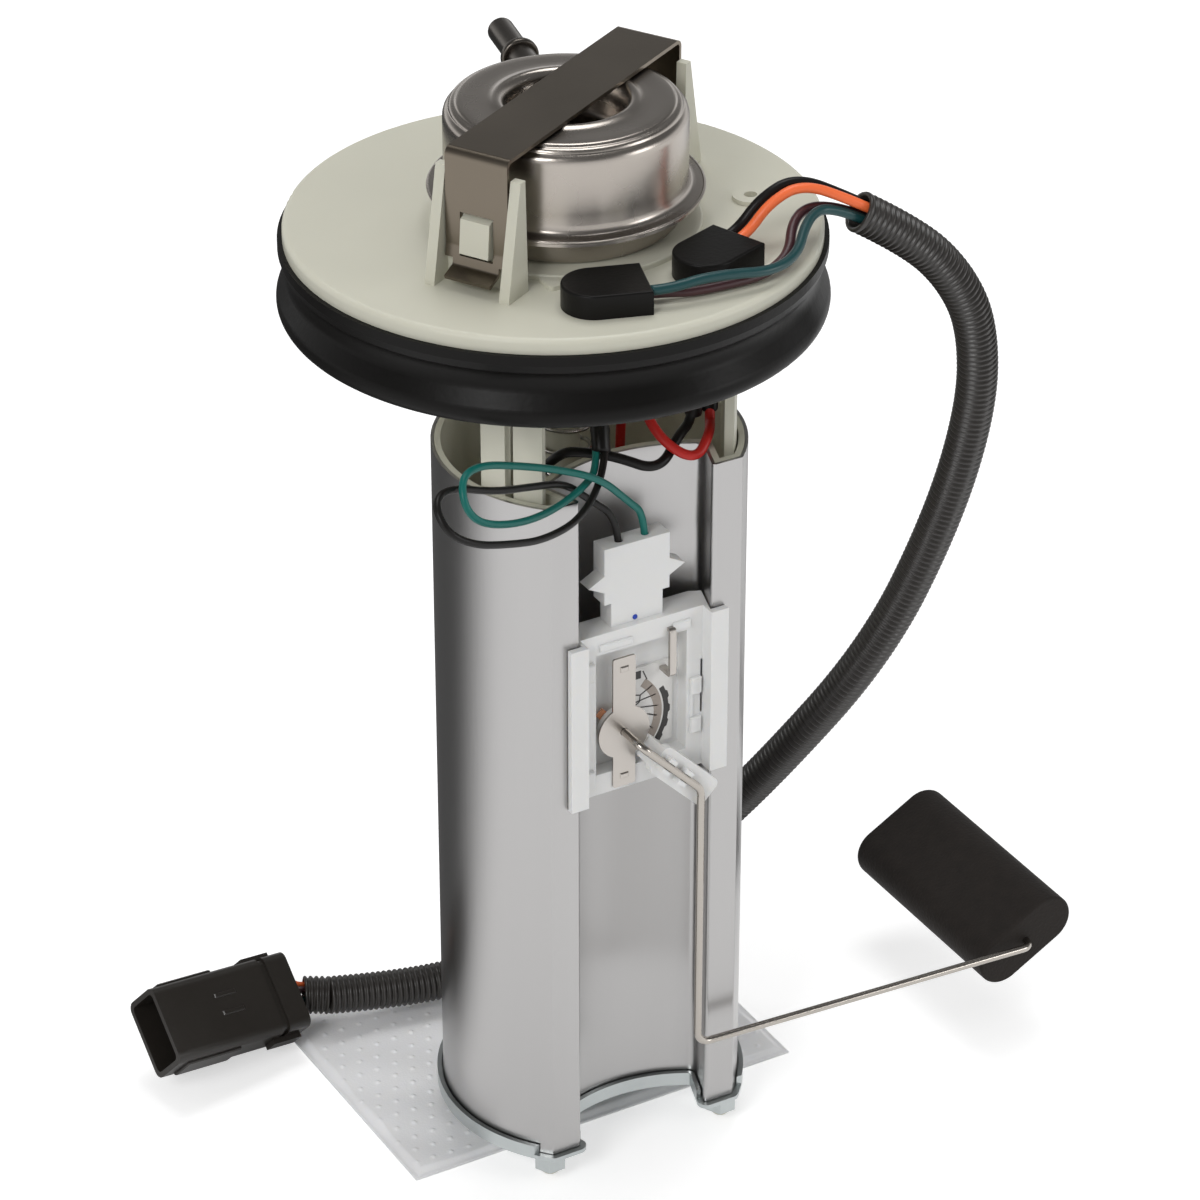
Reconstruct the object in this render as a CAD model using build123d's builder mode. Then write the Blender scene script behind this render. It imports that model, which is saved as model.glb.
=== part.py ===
from build123d import *
import os
from math import acos, asin, cos, degrees, pi, radians, sin, sqrt, tan

os.makedirs("parts", exist_ok=True)

# In-tank fuel pump module. Millimetres. +Z is up out of the tank, -Y is the side with the level sender.
# The origin is the centre of the flange's seat, the plane where the flange rests on its tank seal.

# Flange and tank seal
flange_radius = 68.0
flange_thickness = 4.0
flange_edge_radius = 1.4
spigot_radius = 60.0
spigot_wall = 2.6
spigot_depth = 13.0
seal_lip_radius = 69.3
seal_waist_radius = 66.8
seal_bulb_radius = 70.0
seal_height = 19.5
seal_foot_width = 4.4
seat_boss_radius = 34.2
seat_boss_height = 1.5
fit_gap = 0.3
slide_gap = 0.4

# Filter and regulator can on the flange
can_x = 1.5
can_y = -4.0
can_radius = 30.6
can_wall = 0.9
can_height = 32.0
skirt_radius = 34.9
skirt_height = 8.7
bowl_radius = 29.6
lip_radius = 17.4
well_radius = 13.4
well_depth = 10.5
neck_radius = 6.0
neck_depth = 6.5
can_edge_radius = 4.0
lip_rise = 0.7
seal_ring_wire = 1.05
nipple_radius = 3.5
nipple_root_radius = 3.75
nipple_bore = 2.4
nipple_angle = 77.5
nipple_drop = 6.0
nipple_reach = 58.0
nipple_bead_radius = 5.0
nipple_bead_reach = 40.2
nipple_bead_length = 2.2
element_radius = 26.5
element_bore = 15.0

# Spring strap over the can and its two towers
strap_angle = 30.0
strap_thickness = 1.0
strap_width = 17.6
strap_half_span = 42.0
strap_bend = 1.6
window_width = 9.4
window_height = 11.6
window_sill = 8.0
tab_reach = 5.2
tab_width = 13.0
rib_thickness = 2.8
rib_foot = 47.5
rib_crest = 41.6
rib_inner = 39.4
rib_height = 30.0
web_thickness = 1.8
web_height = 21.0
nub_width = 8.2
nub_height = 9.6
nub_reach = 2.2

# Over-moulded lead blocks on the flange
block_length = 21.2
block_width = 16.3
block_height = 6.3
block_edge = 0.6
pump_block_x = 28.5
pump_block_y = -42.5
pump_block_angle = 200.0
sender_block_x = -3.2
sender_block_y = -52.0
sender_block_angle = 162.0
pin_pitch = 5.6
pin_radius = 1.0
pin_drop = 9.0

# Small features of the flange top
vent_x = 48.0
vent_y = -16.2
vent_radius = 4.7
vent_hole_radius = 1.7
vent_height = 1.2
pad_x = -18.0
pad_y = -33.5
pad_size = 6.5

# Sleeve and reservoir, with the channel for the sender at the front
tube_y = -18.2
sleeve_radius = 40.3
sleeve_wall = 0.8
sleeve_top = -50.0
sleeve_bottom = -247.4
flat_distance = 29.2
channel_mouth = 18.9
channel_shoulder = 22.6
channel_depth = 18.1
channel_arc_radius = 42.0
channel_arc_centre = 53.5
sleeve_corner = 1.0
shoulder_corner = 2.4
liner_gap = 0.1
liner_wall = 1.6
floor_thickness = 2.0
slot_width = 1.5
slot_height = 4.0
slot_drop = 7.0

# Guide legs, centre tube, return spring and the bridge that carries the spring
leg_outer_gap = 0.5
leg_thickness = 2.5
leg_angle = 208.2
leg_half_width = 14.0
leg_slot = 2.4
leg_bottom = -104.0
hook_reach = 1.4
hook_height = 4.0
bridge_top = -89.6
bridge_thickness = 2.4
cup_height = 3.0
cup_wall = 1.4
tube_x = 0.0
centre_tube_y = -3.0
centre_tube_radius = 5.1
centre_tube_bore = 3.0
centre_tube_bottom = -112.0
tube_boss_radius = 11.0
tube_boss_height = 8.0
spring_radius = 7.8
spring_wire = 1.1
spring_pitch = 6.5
stroke = 12.0

# Base plate, nuts and strainer
plate_gap = 0.2
plate_thickness = 1.2
plate_rim = 2.8
plate_rim_gap = 0.4
plate_reach = 1.6
nut_x = 26.6
nut_inset = 4.2
nut_flats = 8.0
nut_height = 4.8
nut_tip = 2.2
stud_radius = 2.5
stud_rise = 3.4
ground = -258.0
sock_thickness = 2.5
sock_half_width = 58.8
sock_front = -27.0
sock_back = 57.0
sock_corner = 3.0
strainer_neck_radius = 9.0
strainer_neck_bore = 6.2

# Electric pump inside the reservoir
pump_y = -3.0
pump_radius = 19.0
pump_wall = 1.0
pump_top = -172.0
pump_bottom = -240.0
cap_height = 6.0
outlet_radius = 4.2
outlet_height = 14.0
magnet_thickness = 3.2
magnet_gap = 0.1
armature_gap = 0.8
armature_length = 38.0
shaft_radius = 1.6
bearing_gap = 0.05
impeller_radius = 15.0
impeller_thickness = 3.6
impeller_vanes = 20
commutator_radius = 5.0
brush_width = 4.0
isolator_thickness = 3.5
isolator_height = 9.0
hose_radius = 7.2
hose_grip = 10.0
clamp_width = 5.0
clamp_thickness = 0.9

# Level sender in the channel
sender_top = -91.5
sender_bottom = -139.3
sender_gap = 0.3
sender_floor = -37.0
sender_deck = 3.4
rail_lip_reach = 4.5
rail_lip_thickness = 1.8
rail_width = 5.2
bar_height = 6.0
deck_front = -45.0
pivot_x = -5.4
pivot_z = -122.1
hub_radius = 6.0
hub_front_gap = 0.3
card_thickness = 0.8
card_left = -3.5
card_right = 11.4
card_top = -107.3
card_bottom = -131.5
card_corner = 1.0
keeper_width = 6.6
keeper_thickness = 0.6
keeper_disc = 7.5
keeper_top = -99.8
keeper_bottom = -138.3
plug_left = -9.9
plug_right = 9.1
plug_top = -68.4
plug_waist = -84.5
plug_front = -43.2
plug_depth = 5.6
plug_foot_width = 15.0
plug_lead_pitch = 3.8
wing_reach = 4.6
wing_height = 6.0
clip_x = 8.4
clip_top = -95.5
clip_bottom = -109.0

# Float arm and float
wire_radius = 1.05
wire_bend = 3.0
wire_y = -54.5
knee_x = 12.4
knee_z = -140.2
heel_x = 12.3
heel_z = -220.9
float_x = 120.4
float_z = -226.5
float_length = 65.0
float_width = 31.5
float_height = 15.2
float_tilt = 29.5
float_end_gap = 0.4
float_bore_gap = 0.06
tip_length = 3.6
arm_width = 6.0
arm_front = -52.6
arm_back = -49.9
arm_reach = 31.0
arm_swing = 62.0

# Leads, loom and plug
lead_radius = 1.3
fine_lead_radius = 0.95
loom_radius = 5.4
loom_wall = 1.0
crimp_radius = 2.2
crimp_top = -34.0
crimp_length = 10.5
sender_crimp_radius = 2.4
shrink_pitch = 1.18
shrink_length = 11.0
plug_length = 44.0
plug_width = 22.6
plug_thickness = 14.9
plug_wall = 1.5
plug_cavity = 17.0
plug_corner = 2.6
plug_way_pitch = 4.6
plug_band = 9.0
plug_band_width = 2.0
plug_tail_depth = 3.0
tail_radius = 1.05
terminal_width = 1.5
terminal_length = 9.0
latch_width = 5.0
latch_length = 9.0
latch_height = 1.6

# Planes that the sub-parts share
can_base = flange_thickness + seat_boss_height
can_top = can_base + can_height
strap_top = can_top + lip_rise + strap_thickness
along_strap = (cos(radians(strap_angle)), sin(radians(strap_angle)), 0)
across_strap = (sin(radians(strap_angle)), -cos(radians(strap_angle)), 0)
strap_plane = Plane(origin=(can_x, can_y, 0), x_dir=along_strap, z_dir=across_strap)
can_section = Plane(origin=(can_x, can_y, 0), x_dir=(1, 0, 0), z_dir=(0, -1, 0))
can_axis = Axis((can_x, can_y, 0), (0, 0, 1))
pump_section = Plane(origin=(tube_x, pump_y, 0), x_dir=(1, 0, 0), z_dir=(0, -1, 0))
pump_axis = Axis((tube_x, pump_y, 0), (0, 0, 1))
liner_inset = sleeve_wall + liner_gap
inner_inset = liner_inset + liner_wall
leg_radius = sleeve_radius - inner_inset - leg_outer_gap
bridge_bottom = bridge_top - bridge_thickness
plate_top = sleeve_bottom - plate_gap
plate_bottom = plate_top - plate_thickness
flat_y = tube_y - flat_distance
nut_y = flat_y + nut_inset

# Where each pair of pins comes out below the flange
pin_spots = []
for block_x, block_y, block_angle in (
    (pump_block_x, pump_block_y, pump_block_angle),
    (sender_block_x, sender_block_y, sender_block_angle),
):
    for pin_side in (-1, 1):
        turn = radians(block_angle)
        pin_spots.append(
            (
                block_x + block_length / 2 * cos(turn) - pin_side * pin_pitch / 2 * sin(turn),
                block_y + block_length / 2 * sin(turn) + pin_side * pin_pitch / 2 * cos(turn),
                -pin_drop,
            )
        )

# The shrink sleeve round the sender leads
shrink_start = Vector(-4.0, -30.0, -36.0)
shrink_along = Vector(-0.255, -0.567, -0.780).normalized()
shrink_side = Vector(-0.912, 0.410, 0).normalized()

# Routes of the leads under the flange
crimp_spots = [(28.2, -30.2), (23.2, -30.6)]
pump_red_route = [
    pin_spots[0],
    (*pin_spots[0][:2], -16.0),
    (28.2, -30.2, -24),
    (28.2, -30.2, -46.5),
    (24.2, -37.5, -46.4),
    (17.5, -41.5, -51.5),
    (9.5, -35.5, -45),
    (10.0, -24, -36),
    (16, -10, -38),
    (18, -2.4, -56),
    (18, -2.0, -110),
    (12.0, -3.5, -146),
    (12.0, -3.5, pump_top + 2.0),
]
pump_black_route = [
    pin_spots[1],
    (*pin_spots[1][:2], -17.0),
    (23.2, -30.6, -26),
    (23.2, -30.6, -45.5),
    (17, -33.8, -47.2),
    (8.5, -38.8, -53.0),
    (-1.5, -34.0, -48.2),
    (-8.5, -31.0, -46.5),
    (-14.5, -28.5, -46),
    (-18.0, -22.0, -56),
    (-18.5, -6, -74),
    (-18, -2.0, -94),
    (-18, -2.2, -120),
    (-12.0, -3.5, -148),
    (-12.0, -3.5, pump_top + 2.0),
]
shrink_end = shrink_start + shrink_along * shrink_length
plug_middle = (plug_left + plug_right) / 2
sender_green_route = [
    pin_spots[2],
    (*pin_spots[2][:2], -18.0),
    tuple(shrink_start + shrink_side * shrink_pitch - shrink_along * 5.0),
    tuple(shrink_end + shrink_side * shrink_pitch + shrink_along * 3.0),
    (-14.5, -43.0, -48.0),
    (-27, -50, -48),
    (-39.3, -57, -45.0),
    (-50, -61.0, -41.2),
    (-56.5, -62, -37.5),
    (-59.0, -60.8, -32.5),
    (-57, -56.5, -27.8),
    (-50, -53.5, -28.0),
    (-38.1, -50, -33.2),
    (-25.2, -47, -39.2),
    (-12.8, -46.2, -45.6),
    (-3.2, -43, -56),
    (plug_middle + plug_lead_pitch, plug_front + 2.6, -63.0),
    (plug_middle + plug_lead_pitch, plug_front + 2.6, plug_top - 6.0),
]
sender_black_route = [
    pin_spots[3],
    (*pin_spots[3][:2], -12.0),
    (-6.5, -44.5, -18.5),
    tuple(shrink_start - shrink_side * shrink_pitch - shrink_along * 5.0),
    tuple(shrink_end - shrink_side * shrink_pitch + shrink_along * 3.0),
    (-20, -51.0, -52.0),
    (-36, -59.5, -50),
    (-50.3, -65, -44.5),
    (-60, -67.5, -40.5),
    (-66.8, -66.8, -35.6),
    (-67.2, -61, -30),
    (-60.5, -56.5, -29.8),
    (-46.4, -52.5, -37.0),
    (-33.1, -48.0, -41.4),
    (-21.5, -43.6, -45.6),
    (-13.5, -41.5, -53.5),
    (plug_middle - plug_lead_pitch, plug_front + 2.6, -62.0),
    (plug_middle - plug_lead_pitch, plug_front + 2.6, plug_top - 6.0),
]

# Loom: it leaves the leads over the flange's edge, hangs beside the sleeve and ends on the ground behind it
loom_route = [
    (62.0, -44.5, 9.0),
    (76.9, -47.8, -0.5),
    (88.9, -49.1, -13.9),
    (96.9, -48.2, -30.0),
    (100.8, -44.3, -55.3),
    (97.5, -36.0, -92.0),
    (86.5, -23.0, -137.0),
    (65.5, -1.0, -182.0),
    (50.0, 16.0, -211.0),
    (31.0, 30.0, -234.0),
    (8.0, 38.0, -246.5),
    (-18.0, 40.0, -249.5),
    (-47.5, 46.6, -246.2),
]

# The four leads over the flange enter the conduit side by side
mouth_along = (Vector(*loom_route[1]) - Vector(*loom_route[0])).normalized()
mouth_side = Vector(-mouth_along.Y, mouth_along.X, 0).normalized()
mouth_up = mouth_along.cross(mouth_side)


def mouth_point(reach, side, up):
    """A point near the conduit's mouth: along its axis, towards the tank's middle, and upwards."""
    return tuple(Vector(*loom_route[0]) + mouth_along * reach + mouth_side * side + mouth_up * up)


loom_orange_route = [
    (28.0, -41.1, 7.4),
    (32.7, -39.4, 7.4),
    (38.5, -40.2, 15.0),
    (48, -40.3, 18.2),
    mouth_point(-4.0, -1.4, 2.2),
    mouth_point(7.0, -1.4, 2.2),
]
loom_black_route = [
    (26.86, -37.99, 7.4),
    (31.6, -36.3, 7.4),
    (37.8, -37.0, 15.2),
    (48, -37.2, 18.8),
    mouth_point(-4.0, 1.4, 2.0),
    mouth_point(7.0, 1.4, 2.0),
]
loom_teal_route = [
    (-4.59, -56.28, 8.8),
    (0.2, -57.8, 8.8),
    (10.5, -59.0, 10.2),
    (33.0, -61.0, 7.2),
    (47.5, -44.5, 12.8),
    mouth_point(-5.0, -1.4, -0.9),
    mouth_point(7.0, -1.4, -0.9),
]
loom_purple_route = [
    (-3.51, -52.95, 6.2),
    (1.24, -54.5, 6.2),
    (8.0, -57.0, 5.6),
    (33.5, -57.6, 5.6),
    (44.6, -41.6, 12.4),
    mouth_point(-5.0, 1.4, -0.9),
    mouth_point(7.0, 1.4, -0.9),
]

# Plug on the loom's end, lying with one corner on the ground
plug_along = Vector(0.979, 0.146, -0.145).normalized()
plug_across = Vector(0.0186, -0.760, -0.650).normalized()
plug_rear = Vector(-58.6, 50.9, -245.1)
plug_mouth = plug_rear - plug_along * plug_length
loom_end = Vector(*loom_route[-1])
loom_end_along = (loom_end - Vector(*loom_route[-2])).normalized()
loom_end_plane = Plane(origin=loom_end, x_dir=plug_across, z_dir=loom_end_along)


def tube_plane(height):
    """Horizontal plane at a height, centred on the sleeve's axis."""
    return Plane.XY.offset(height).shift_origin((0, tube_y, height))


def sleeve_outline(inset):
    """The sleeve's outer outline drawn inwards by inset: a circle with front flats and the sender's channel."""
    with BuildSketch() as outline:
        Circle(sleeve_radius)
        with Locations((0, -flat_distance)):
            Rectangle(2 * sleeve_radius, sleeve_radius, align=(Align.CENTER, Align.MAX), mode=Mode.SUBTRACT)
        with BuildLine():
            shoulder_y = sqrt(channel_arc_radius**2 - channel_shoulder**2) - channel_arc_centre
            RadiusArc((-channel_shoulder, shoulder_y), (channel_shoulder, shoulder_y), channel_arc_radius)
            Polyline(
                (channel_shoulder, shoulder_y),
                (channel_mouth, -flat_distance),
                (channel_mouth, -sleeve_radius),
                (-channel_mouth, -sleeve_radius),
                (-channel_mouth, -flat_distance),
                (-channel_shoulder, shoulder_y),
            )
        make_face(mode=Mode.SUBTRACT)
        front = outline.vertices().group_by(Axis.Y)[0]
        fillet(front, sleeve_corner)
        shoulders = [v for v in outline.vertices() if abs(v.Y - shoulder_y) < 0.01]
        fillet(shoulders, shoulder_corner)
        if inset > 0:
            offset(amount=-inset, kind=Kind.ARC, mode=Mode.REPLACE)
    return outline.sketch


def corner_radii(points):
    """One radius for each corner of a lead's route: as large as its two runs allow."""
    radii = []
    for before, corner, after in zip(points, points[1:], points[2:]):
        run_in = Vector(*corner) - Vector(*before)
        run_out = Vector(*after) - Vector(*corner)
        half_turn = radians(run_in.get_angle(run_out)) / 2
        radii.append(0.45 * min(run_in.length, run_out.length) / tan(half_turn))
    return radii


def lead(points, radius):
    """A round lead along straight runs joined by tangent arcs."""
    with BuildPart() as cord:
        with BuildLine():
            route = FilletPolyline(*points, radius=corner_radii(points))
        with BuildSketch(Plane(origin=route @ 0, z_dir=route % 0)):
            Circle(radius)
        sweep(path=route)
    expected = pi * radius**2 * route.length
    print(f"lead {route.length:.1f} mm, volume ratio {cord.part.volume / expected:.4f},",
          "radii", [round(r, 1) for r in corner_radii(points)])
    return cord.part


# Flange: one moulding with the can's seat, two strap towers, the vent boss and the spigot inside the seal
with BuildPart() as flange_plate:
    Cylinder(flange_radius, flange_thickness, align=(Align.CENTER, Align.CENTER, Align.MIN))
    fillet(flange_plate.edges().group_by(Axis.Z)[-1], flange_edge_radius)
    with BuildSketch():
        Circle(spigot_radius)
        Circle(spigot_radius - spigot_wall, mode=Mode.SUBTRACT)
    extrude(amount=-spigot_depth)
    with BuildSketch():
        with Locations((tube_x, centre_tube_y)):
            Circle(tube_boss_radius)
    extrude(amount=-tube_boss_height)
    with BuildSketch(Plane.XY.offset(flange_thickness)):
        with Locations((can_x, can_y)):
            Circle(seat_boss_radius)
    extrude(amount=seat_boss_height)
    fillet(flange_plate.edges().group_by(Axis.Z)[-1], seat_boss_height / 3)
    with BuildSketch(Plane.XY.offset(flange_thickness)):
        with Locations((vent_x, vent_y)):
            Circle(vent_radius)
        with Locations((pad_x, pad_y)):
            RectangleRounded(pad_size, pad_size, 1.0)
    extrude(amount=vent_height)
    for side in (-1, 1):
        rib_near = side * (strap_width / 2 + slide_gap)
        for end in (-1, 1):
            with BuildSketch(strap_plane.offset(rib_near)):
                with BuildLine():
                    Polyline(
                        (end * rib_foot, flange_thickness - 0.5),
                        (end * rib_foot, flange_thickness + 1.0),
                        (end * rib_crest, flange_thickness + rib_height),
                        (end * rib_inner, flange_thickness + rib_height),
                        (end * (rib_inner - 1.0), flange_thickness - 0.5),
                        close=True,
                    )
                make_face()
            extrude(amount=side * rib_thickness)
    for end in (-1, 1):
        web_outer = strap_half_span - strap_thickness / 2 - slide_gap
        with BuildSketch(strap_plane):
            with BuildLine():
                nub_low = flange_thickness + window_sill
                Polyline(
                    (end * (web_outer - web_thickness), flange_thickness - 0.5),
                    (end * web_outer, flange_thickness - 0.5),
                    (end * web_outer, nub_low),
                    (end * (web_outer + nub_reach + 0.8), nub_low + 0.6),
                    (end * (web_outer + nub_reach), nub_low + nub_height),
                    (end * web_outer, nub_low + nub_height + 0.6),
                    (end * web_outer, flange_thickness + web_height),
                    (end * (web_outer - web_thickness), flange_thickness + web_height),
                    close=True,
                )
            make_face()
        extrude(amount=nub_width / 2, both=True)
        with BuildSketch(strap_plane):
            with Locations((end * (web_outer - web_thickness / 2), flange_thickness - 0.5)):
                Rectangle(web_thickness, web_height + 0.5, align=(Align.CENTER, Align.MIN))
        extrude(amount=strap_width / 2 + slide_gap + 0.4, both=True)
    with Locations((can_x, can_y, can_base)):
        Hole(neck_radius + 2 * seal_ring_wire + 0.1, depth=can_base + 1.5)
    with Locations((tube_x, centre_tube_y, 1.0)):
        Hole(centre_tube_bore, depth=tube_boss_height + 1.0)
    with Locations((tube_x, centre_tube_y, -tube_boss_height + 3.0)):
        Hole(centre_tube_radius + 0.05, depth=3.0)
    with Locations((vent_x, vent_y, flange_thickness + vent_height)):
        Hole(vent_hole_radius, depth=3.0)
    for block_x, block_y, block_angle in (
        (pump_block_x, pump_block_y, pump_block_angle),
        (sender_block_x, sender_block_y, sender_block_angle),
    ):
        with Locations(Location((block_x, block_y, flange_thickness), (0, 0, block_angle))):
            with Locations((block_length / 2, pin_pitch / 2), (block_length / 2, -pin_pitch / 2)):
                Hole(pin_radius + 0.05, depth=flange_thickness)
flange_plate.part.label = "flange_plate"
export_step(flange_plate.part, "parts/flange_plate.step")

# Tank seal: a rubber ring with a thin top lip, a waist and a broad lower bulb
with BuildPart() as tank_seal:
    with BuildSketch(Plane.XZ):
        with BuildLine():
            inner = spigot_radius + 0.1
            waist = (seal_waist_radius, -0.42 * seal_height)
            bulb = (seal_bulb_radius, -0.86 * seal_height)
            Polyline((inner, 0), (seal_lip_radius, 0), (seal_lip_radius, -0.13 * seal_height))
            Line((seal_lip_radius, -0.13 * seal_height), (seal_lip_radius - 0.7, -0.24 * seal_height))
            ThreePointArc(
                (seal_lip_radius - 0.7, -0.24 * seal_height),
                waist,
                (seal_waist_radius + 0.7, -0.56 * seal_height),
            )
            Line((seal_waist_radius + 0.7, -0.56 * seal_height), (seal_bulb_radius - 0.5, -0.74 * seal_height))
            ThreePointArc(
                (seal_bulb_radius - 0.5, -0.74 * seal_height), bulb, (seal_bulb_radius - 1.6, -seal_height)
            )
            Polyline(
                (seal_bulb_radius - 1.6, -seal_height),
                (seal_bulb_radius - 1.6 - seal_foot_width, -seal_height),
                (inner, -0.7 * seal_height),
                (inner, 0),
            )
        make_face()
    revolve(axis=Axis.Z)
tank_seal.part.label = "tank_seal"
export_step(tank_seal.part, "parts/tank_seal.step")

# Lower half of the can: a pressed bowl with its inlet neck, and a flat flange under the skirt
with BuildPart() as can_lower_shell:
    with BuildSketch(can_section):
        with BuildLine():
            FilletPolyline(
                (neck_radius - can_wall / 2, can_base - neck_depth),
                (neck_radius - can_wall / 2, can_base + can_wall / 2),
                (bowl_radius - 1.4, can_base + can_wall / 2),
                (bowl_radius, can_base + skirt_height - can_wall),
                (skirt_radius - 0.6, can_base + skirt_height - can_wall / 2),
                radius=(1.0, 2.2, 1.4),
            )
        trace(line_width=can_wall)
    revolve(axis=can_axis)
can_lower_shell.part.label = "can_lower_shell"
export_step(can_lower_shell.part, "parts/can_lower_shell.step")

# Upper half of the can: skirt, straight wall, rounded shoulder and the deep well in its top
with BuildPart() as can_upper_shell:
    skirt_level = can_base + skirt_height + can_wall / 2
    wall_line = can_radius - can_wall / 2
    with BuildSketch(can_section):
        with BuildLine():
            FilletPolyline(
                (skirt_radius, skirt_level),
                (wall_line + 1.2, skirt_level + 0.3),
                (wall_line, skirt_level + 3.2),
                (wall_line, can_top - can_wall / 2),
                (lip_radius + 4.5, can_top - can_wall / 2),
                (lip_radius, can_top + lip_rise - can_wall / 2),
                (well_radius, can_top - well_depth),
                (0, can_top - well_depth),
                radius=(1.0, 1.6, can_edge_radius, 2.0, 1.5, 2.4),
            )
        trace(line_width=can_wall)
    revolve(axis=can_axis)
    nipple_level = can_top - nipple_drop
    nipple_plane = Plane(
        origin=(can_x, can_y, nipple_level),
        x_dir=(0, 0, 1),
        z_dir=(cos(radians(nipple_angle)), sin(radians(nipple_angle)), 0),
    )
    with BuildSketch(nipple_plane.offset(can_radius - 3.0)):
        Circle(nipple_root_radius + 0.05)
    extrude(amount=6.0, mode=Mode.SUBTRACT)
can_upper_shell.part.label = "can_upper_shell"
export_step(can_upper_shell.part, "parts/can_upper_shell.step")

# Filter element: a paper ring inside the can
with BuildPart() as filter_element:
    with BuildSketch(Plane(origin=(can_x, can_y, can_base + can_wall + 0.1))):
        Circle(element_radius)
        Circle(element_bore, mode=Mode.SUBTRACT)
    extrude(amount=can_height - well_depth - 2 * can_wall - 1.0)
filter_element.part.label = "filter_element"
export_step(filter_element.part, "parts/filter_element.step")

# Outlet nipple: a steel tube with a rolled bead that stops the hose or quick coupling
with BuildPart() as outlet_nipple:
    bead_start = nipple_bead_reach - nipple_bead_length / 2
    with BuildSketch(Plane(origin=nipple_plane.origin, x_dir=nipple_plane.z_dir, z_dir=(nipple_plane.y_dir))):
        with BuildLine():
            FilletPolyline(
                (can_radius - 2.0, nipple_bore),
                (nipple_reach, nipple_bore),
                (nipple_reach, nipple_radius),
                (bead_start + nipple_bead_length, nipple_radius),
                (bead_start + nipple_bead_length, nipple_bead_radius),
                (bead_start, nipple_bead_radius),
                (bead_start, nipple_root_radius),
                (can_radius - 2.0, nipple_root_radius),
                radius=(0, 0.7, 0, 0.8, 0.8, 0),
            )
            Line((can_radius - 2.0, nipple_root_radius), (can_radius - 2.0, nipple_bore))
        make_face()
    revolve(axis=Axis(nipple_plane.origin, nipple_plane.z_dir))
outlet_nipple.part.label = "outlet_nipple"
export_step(outlet_nipple.part, "parts/outlet_nipple.step")

# Two rubber rings round the can's neck
with BuildPart() as neck_seals:
    with BuildSketch(can_section):
        with Locations((neck_radius + seal_ring_wire, can_base - 2.0), (neck_radius + seal_ring_wire, can_base - 4.6)):
            Circle(seal_ring_wire)
    revolve(axis=can_axis)
neck_seals.part.label = "neck_seals"
export_step(neck_seals.part, "parts/neck_seals.step")

# Retaining strap: one bent strip of spring steel, with a window and a release tab at each end
with BuildPart() as retaining_strap:
    mid = strap_top - strap_thickness / 2
    sill = flange_thickness + window_sill - 3.4
    with BuildSketch(strap_plane):
        with BuildLine():
            FilletPolyline(
                (-strap_half_span - tab_reach, sill - 1.6),
                (-strap_half_span - 0.9, sill),
                (-strap_half_span, sill + 5.0),
                (-strap_half_span, mid),
                (strap_half_span, mid),
                (strap_half_span, sill + 5.0),
                (strap_half_span + 0.9, sill),
                (strap_half_span + tab_reach, sill - 1.6),
                radius=(1.2, 4.0, strap_bend, strap_bend, 4.0, 1.2),
            )
        trace(line_width=strap_thickness)
    extrude(amount=strap_width / 2, both=True)
    leg_face = Plane(origin=(can_x, can_y, 0), x_dir=across_strap, z_dir=(-along_strap[0], -along_strap[1], 0))
    with BuildSketch(leg_face):
        with Locations((0, flange_thickness + window_sill - 0.6)):
            Rectangle(window_width, window_height, align=(Align.CENTER, Align.MIN))
        for side in (-1, 1):
            with Locations((side * tab_width / 2, sill - 4.0)):
                Rectangle(strap_width, 6.0, align=(Align.MIN if side > 0 else Align.MAX, Align.MIN))
    extrude(amount=strap_half_span + tab_reach + 2, both=True, mode=Mode.SUBTRACT)
retaining_strap.part.label = "retaining_strap"
export_step(retaining_strap.part, "parts/retaining_strap.step")

# Over-moulded lead blocks: rounded at one end, with the leads leaving the flat end
for block_name, block_x, block_y, block_angle in (
    ("pump_lead_block", pump_block_x, pump_block_y, pump_block_angle),
    ("sender_lead_block", sender_block_x, sender_block_y, sender_block_angle),
):
    block_plane = Plane(
        origin=(block_x, block_y, flange_thickness),
        x_dir=(cos(radians(block_angle)), sin(radians(block_angle)), 0),
        z_dir=(0, 0, 1),
    )
    with BuildPart() as lead_block:
        with BuildSketch(block_plane):
            with Locations((0, 0)):
                Rectangle(block_length - block_width / 2, block_width, align=(Align.MIN, Align.CENTER))
            with Locations((block_length - block_width / 2, 0)):
                Circle(block_width / 2)
        extrude(amount=block_height)
        fillet(lead_block.faces().sort_by(Axis.Z)[-1].edges(), block_edge)
    lead_block.part.label = block_name
    export_step(lead_block.part, f"parts/{block_name}.step")

# Four brass pins that carry the current through the flange
with BuildPart() as flange_pins:
    for block_x, block_y, block_angle in (
        (pump_block_x, pump_block_y, pump_block_angle),
        (sender_block_x, sender_block_y, sender_block_angle),
    ):
        with Locations(Location((block_x, block_y, flange_thickness), (0, 0, block_angle))):
            with Locations((block_length / 2, pin_pitch / 2), (block_length / 2, -pin_pitch / 2)):
                Cylinder(pin_radius, flange_thickness + pin_drop, align=(Align.CENTER, Align.CENTER, Align.MAX))
flange_pins.part.label = "flange_pins"
export_step(flange_pins.part, "parts/flange_pins.step")

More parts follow.
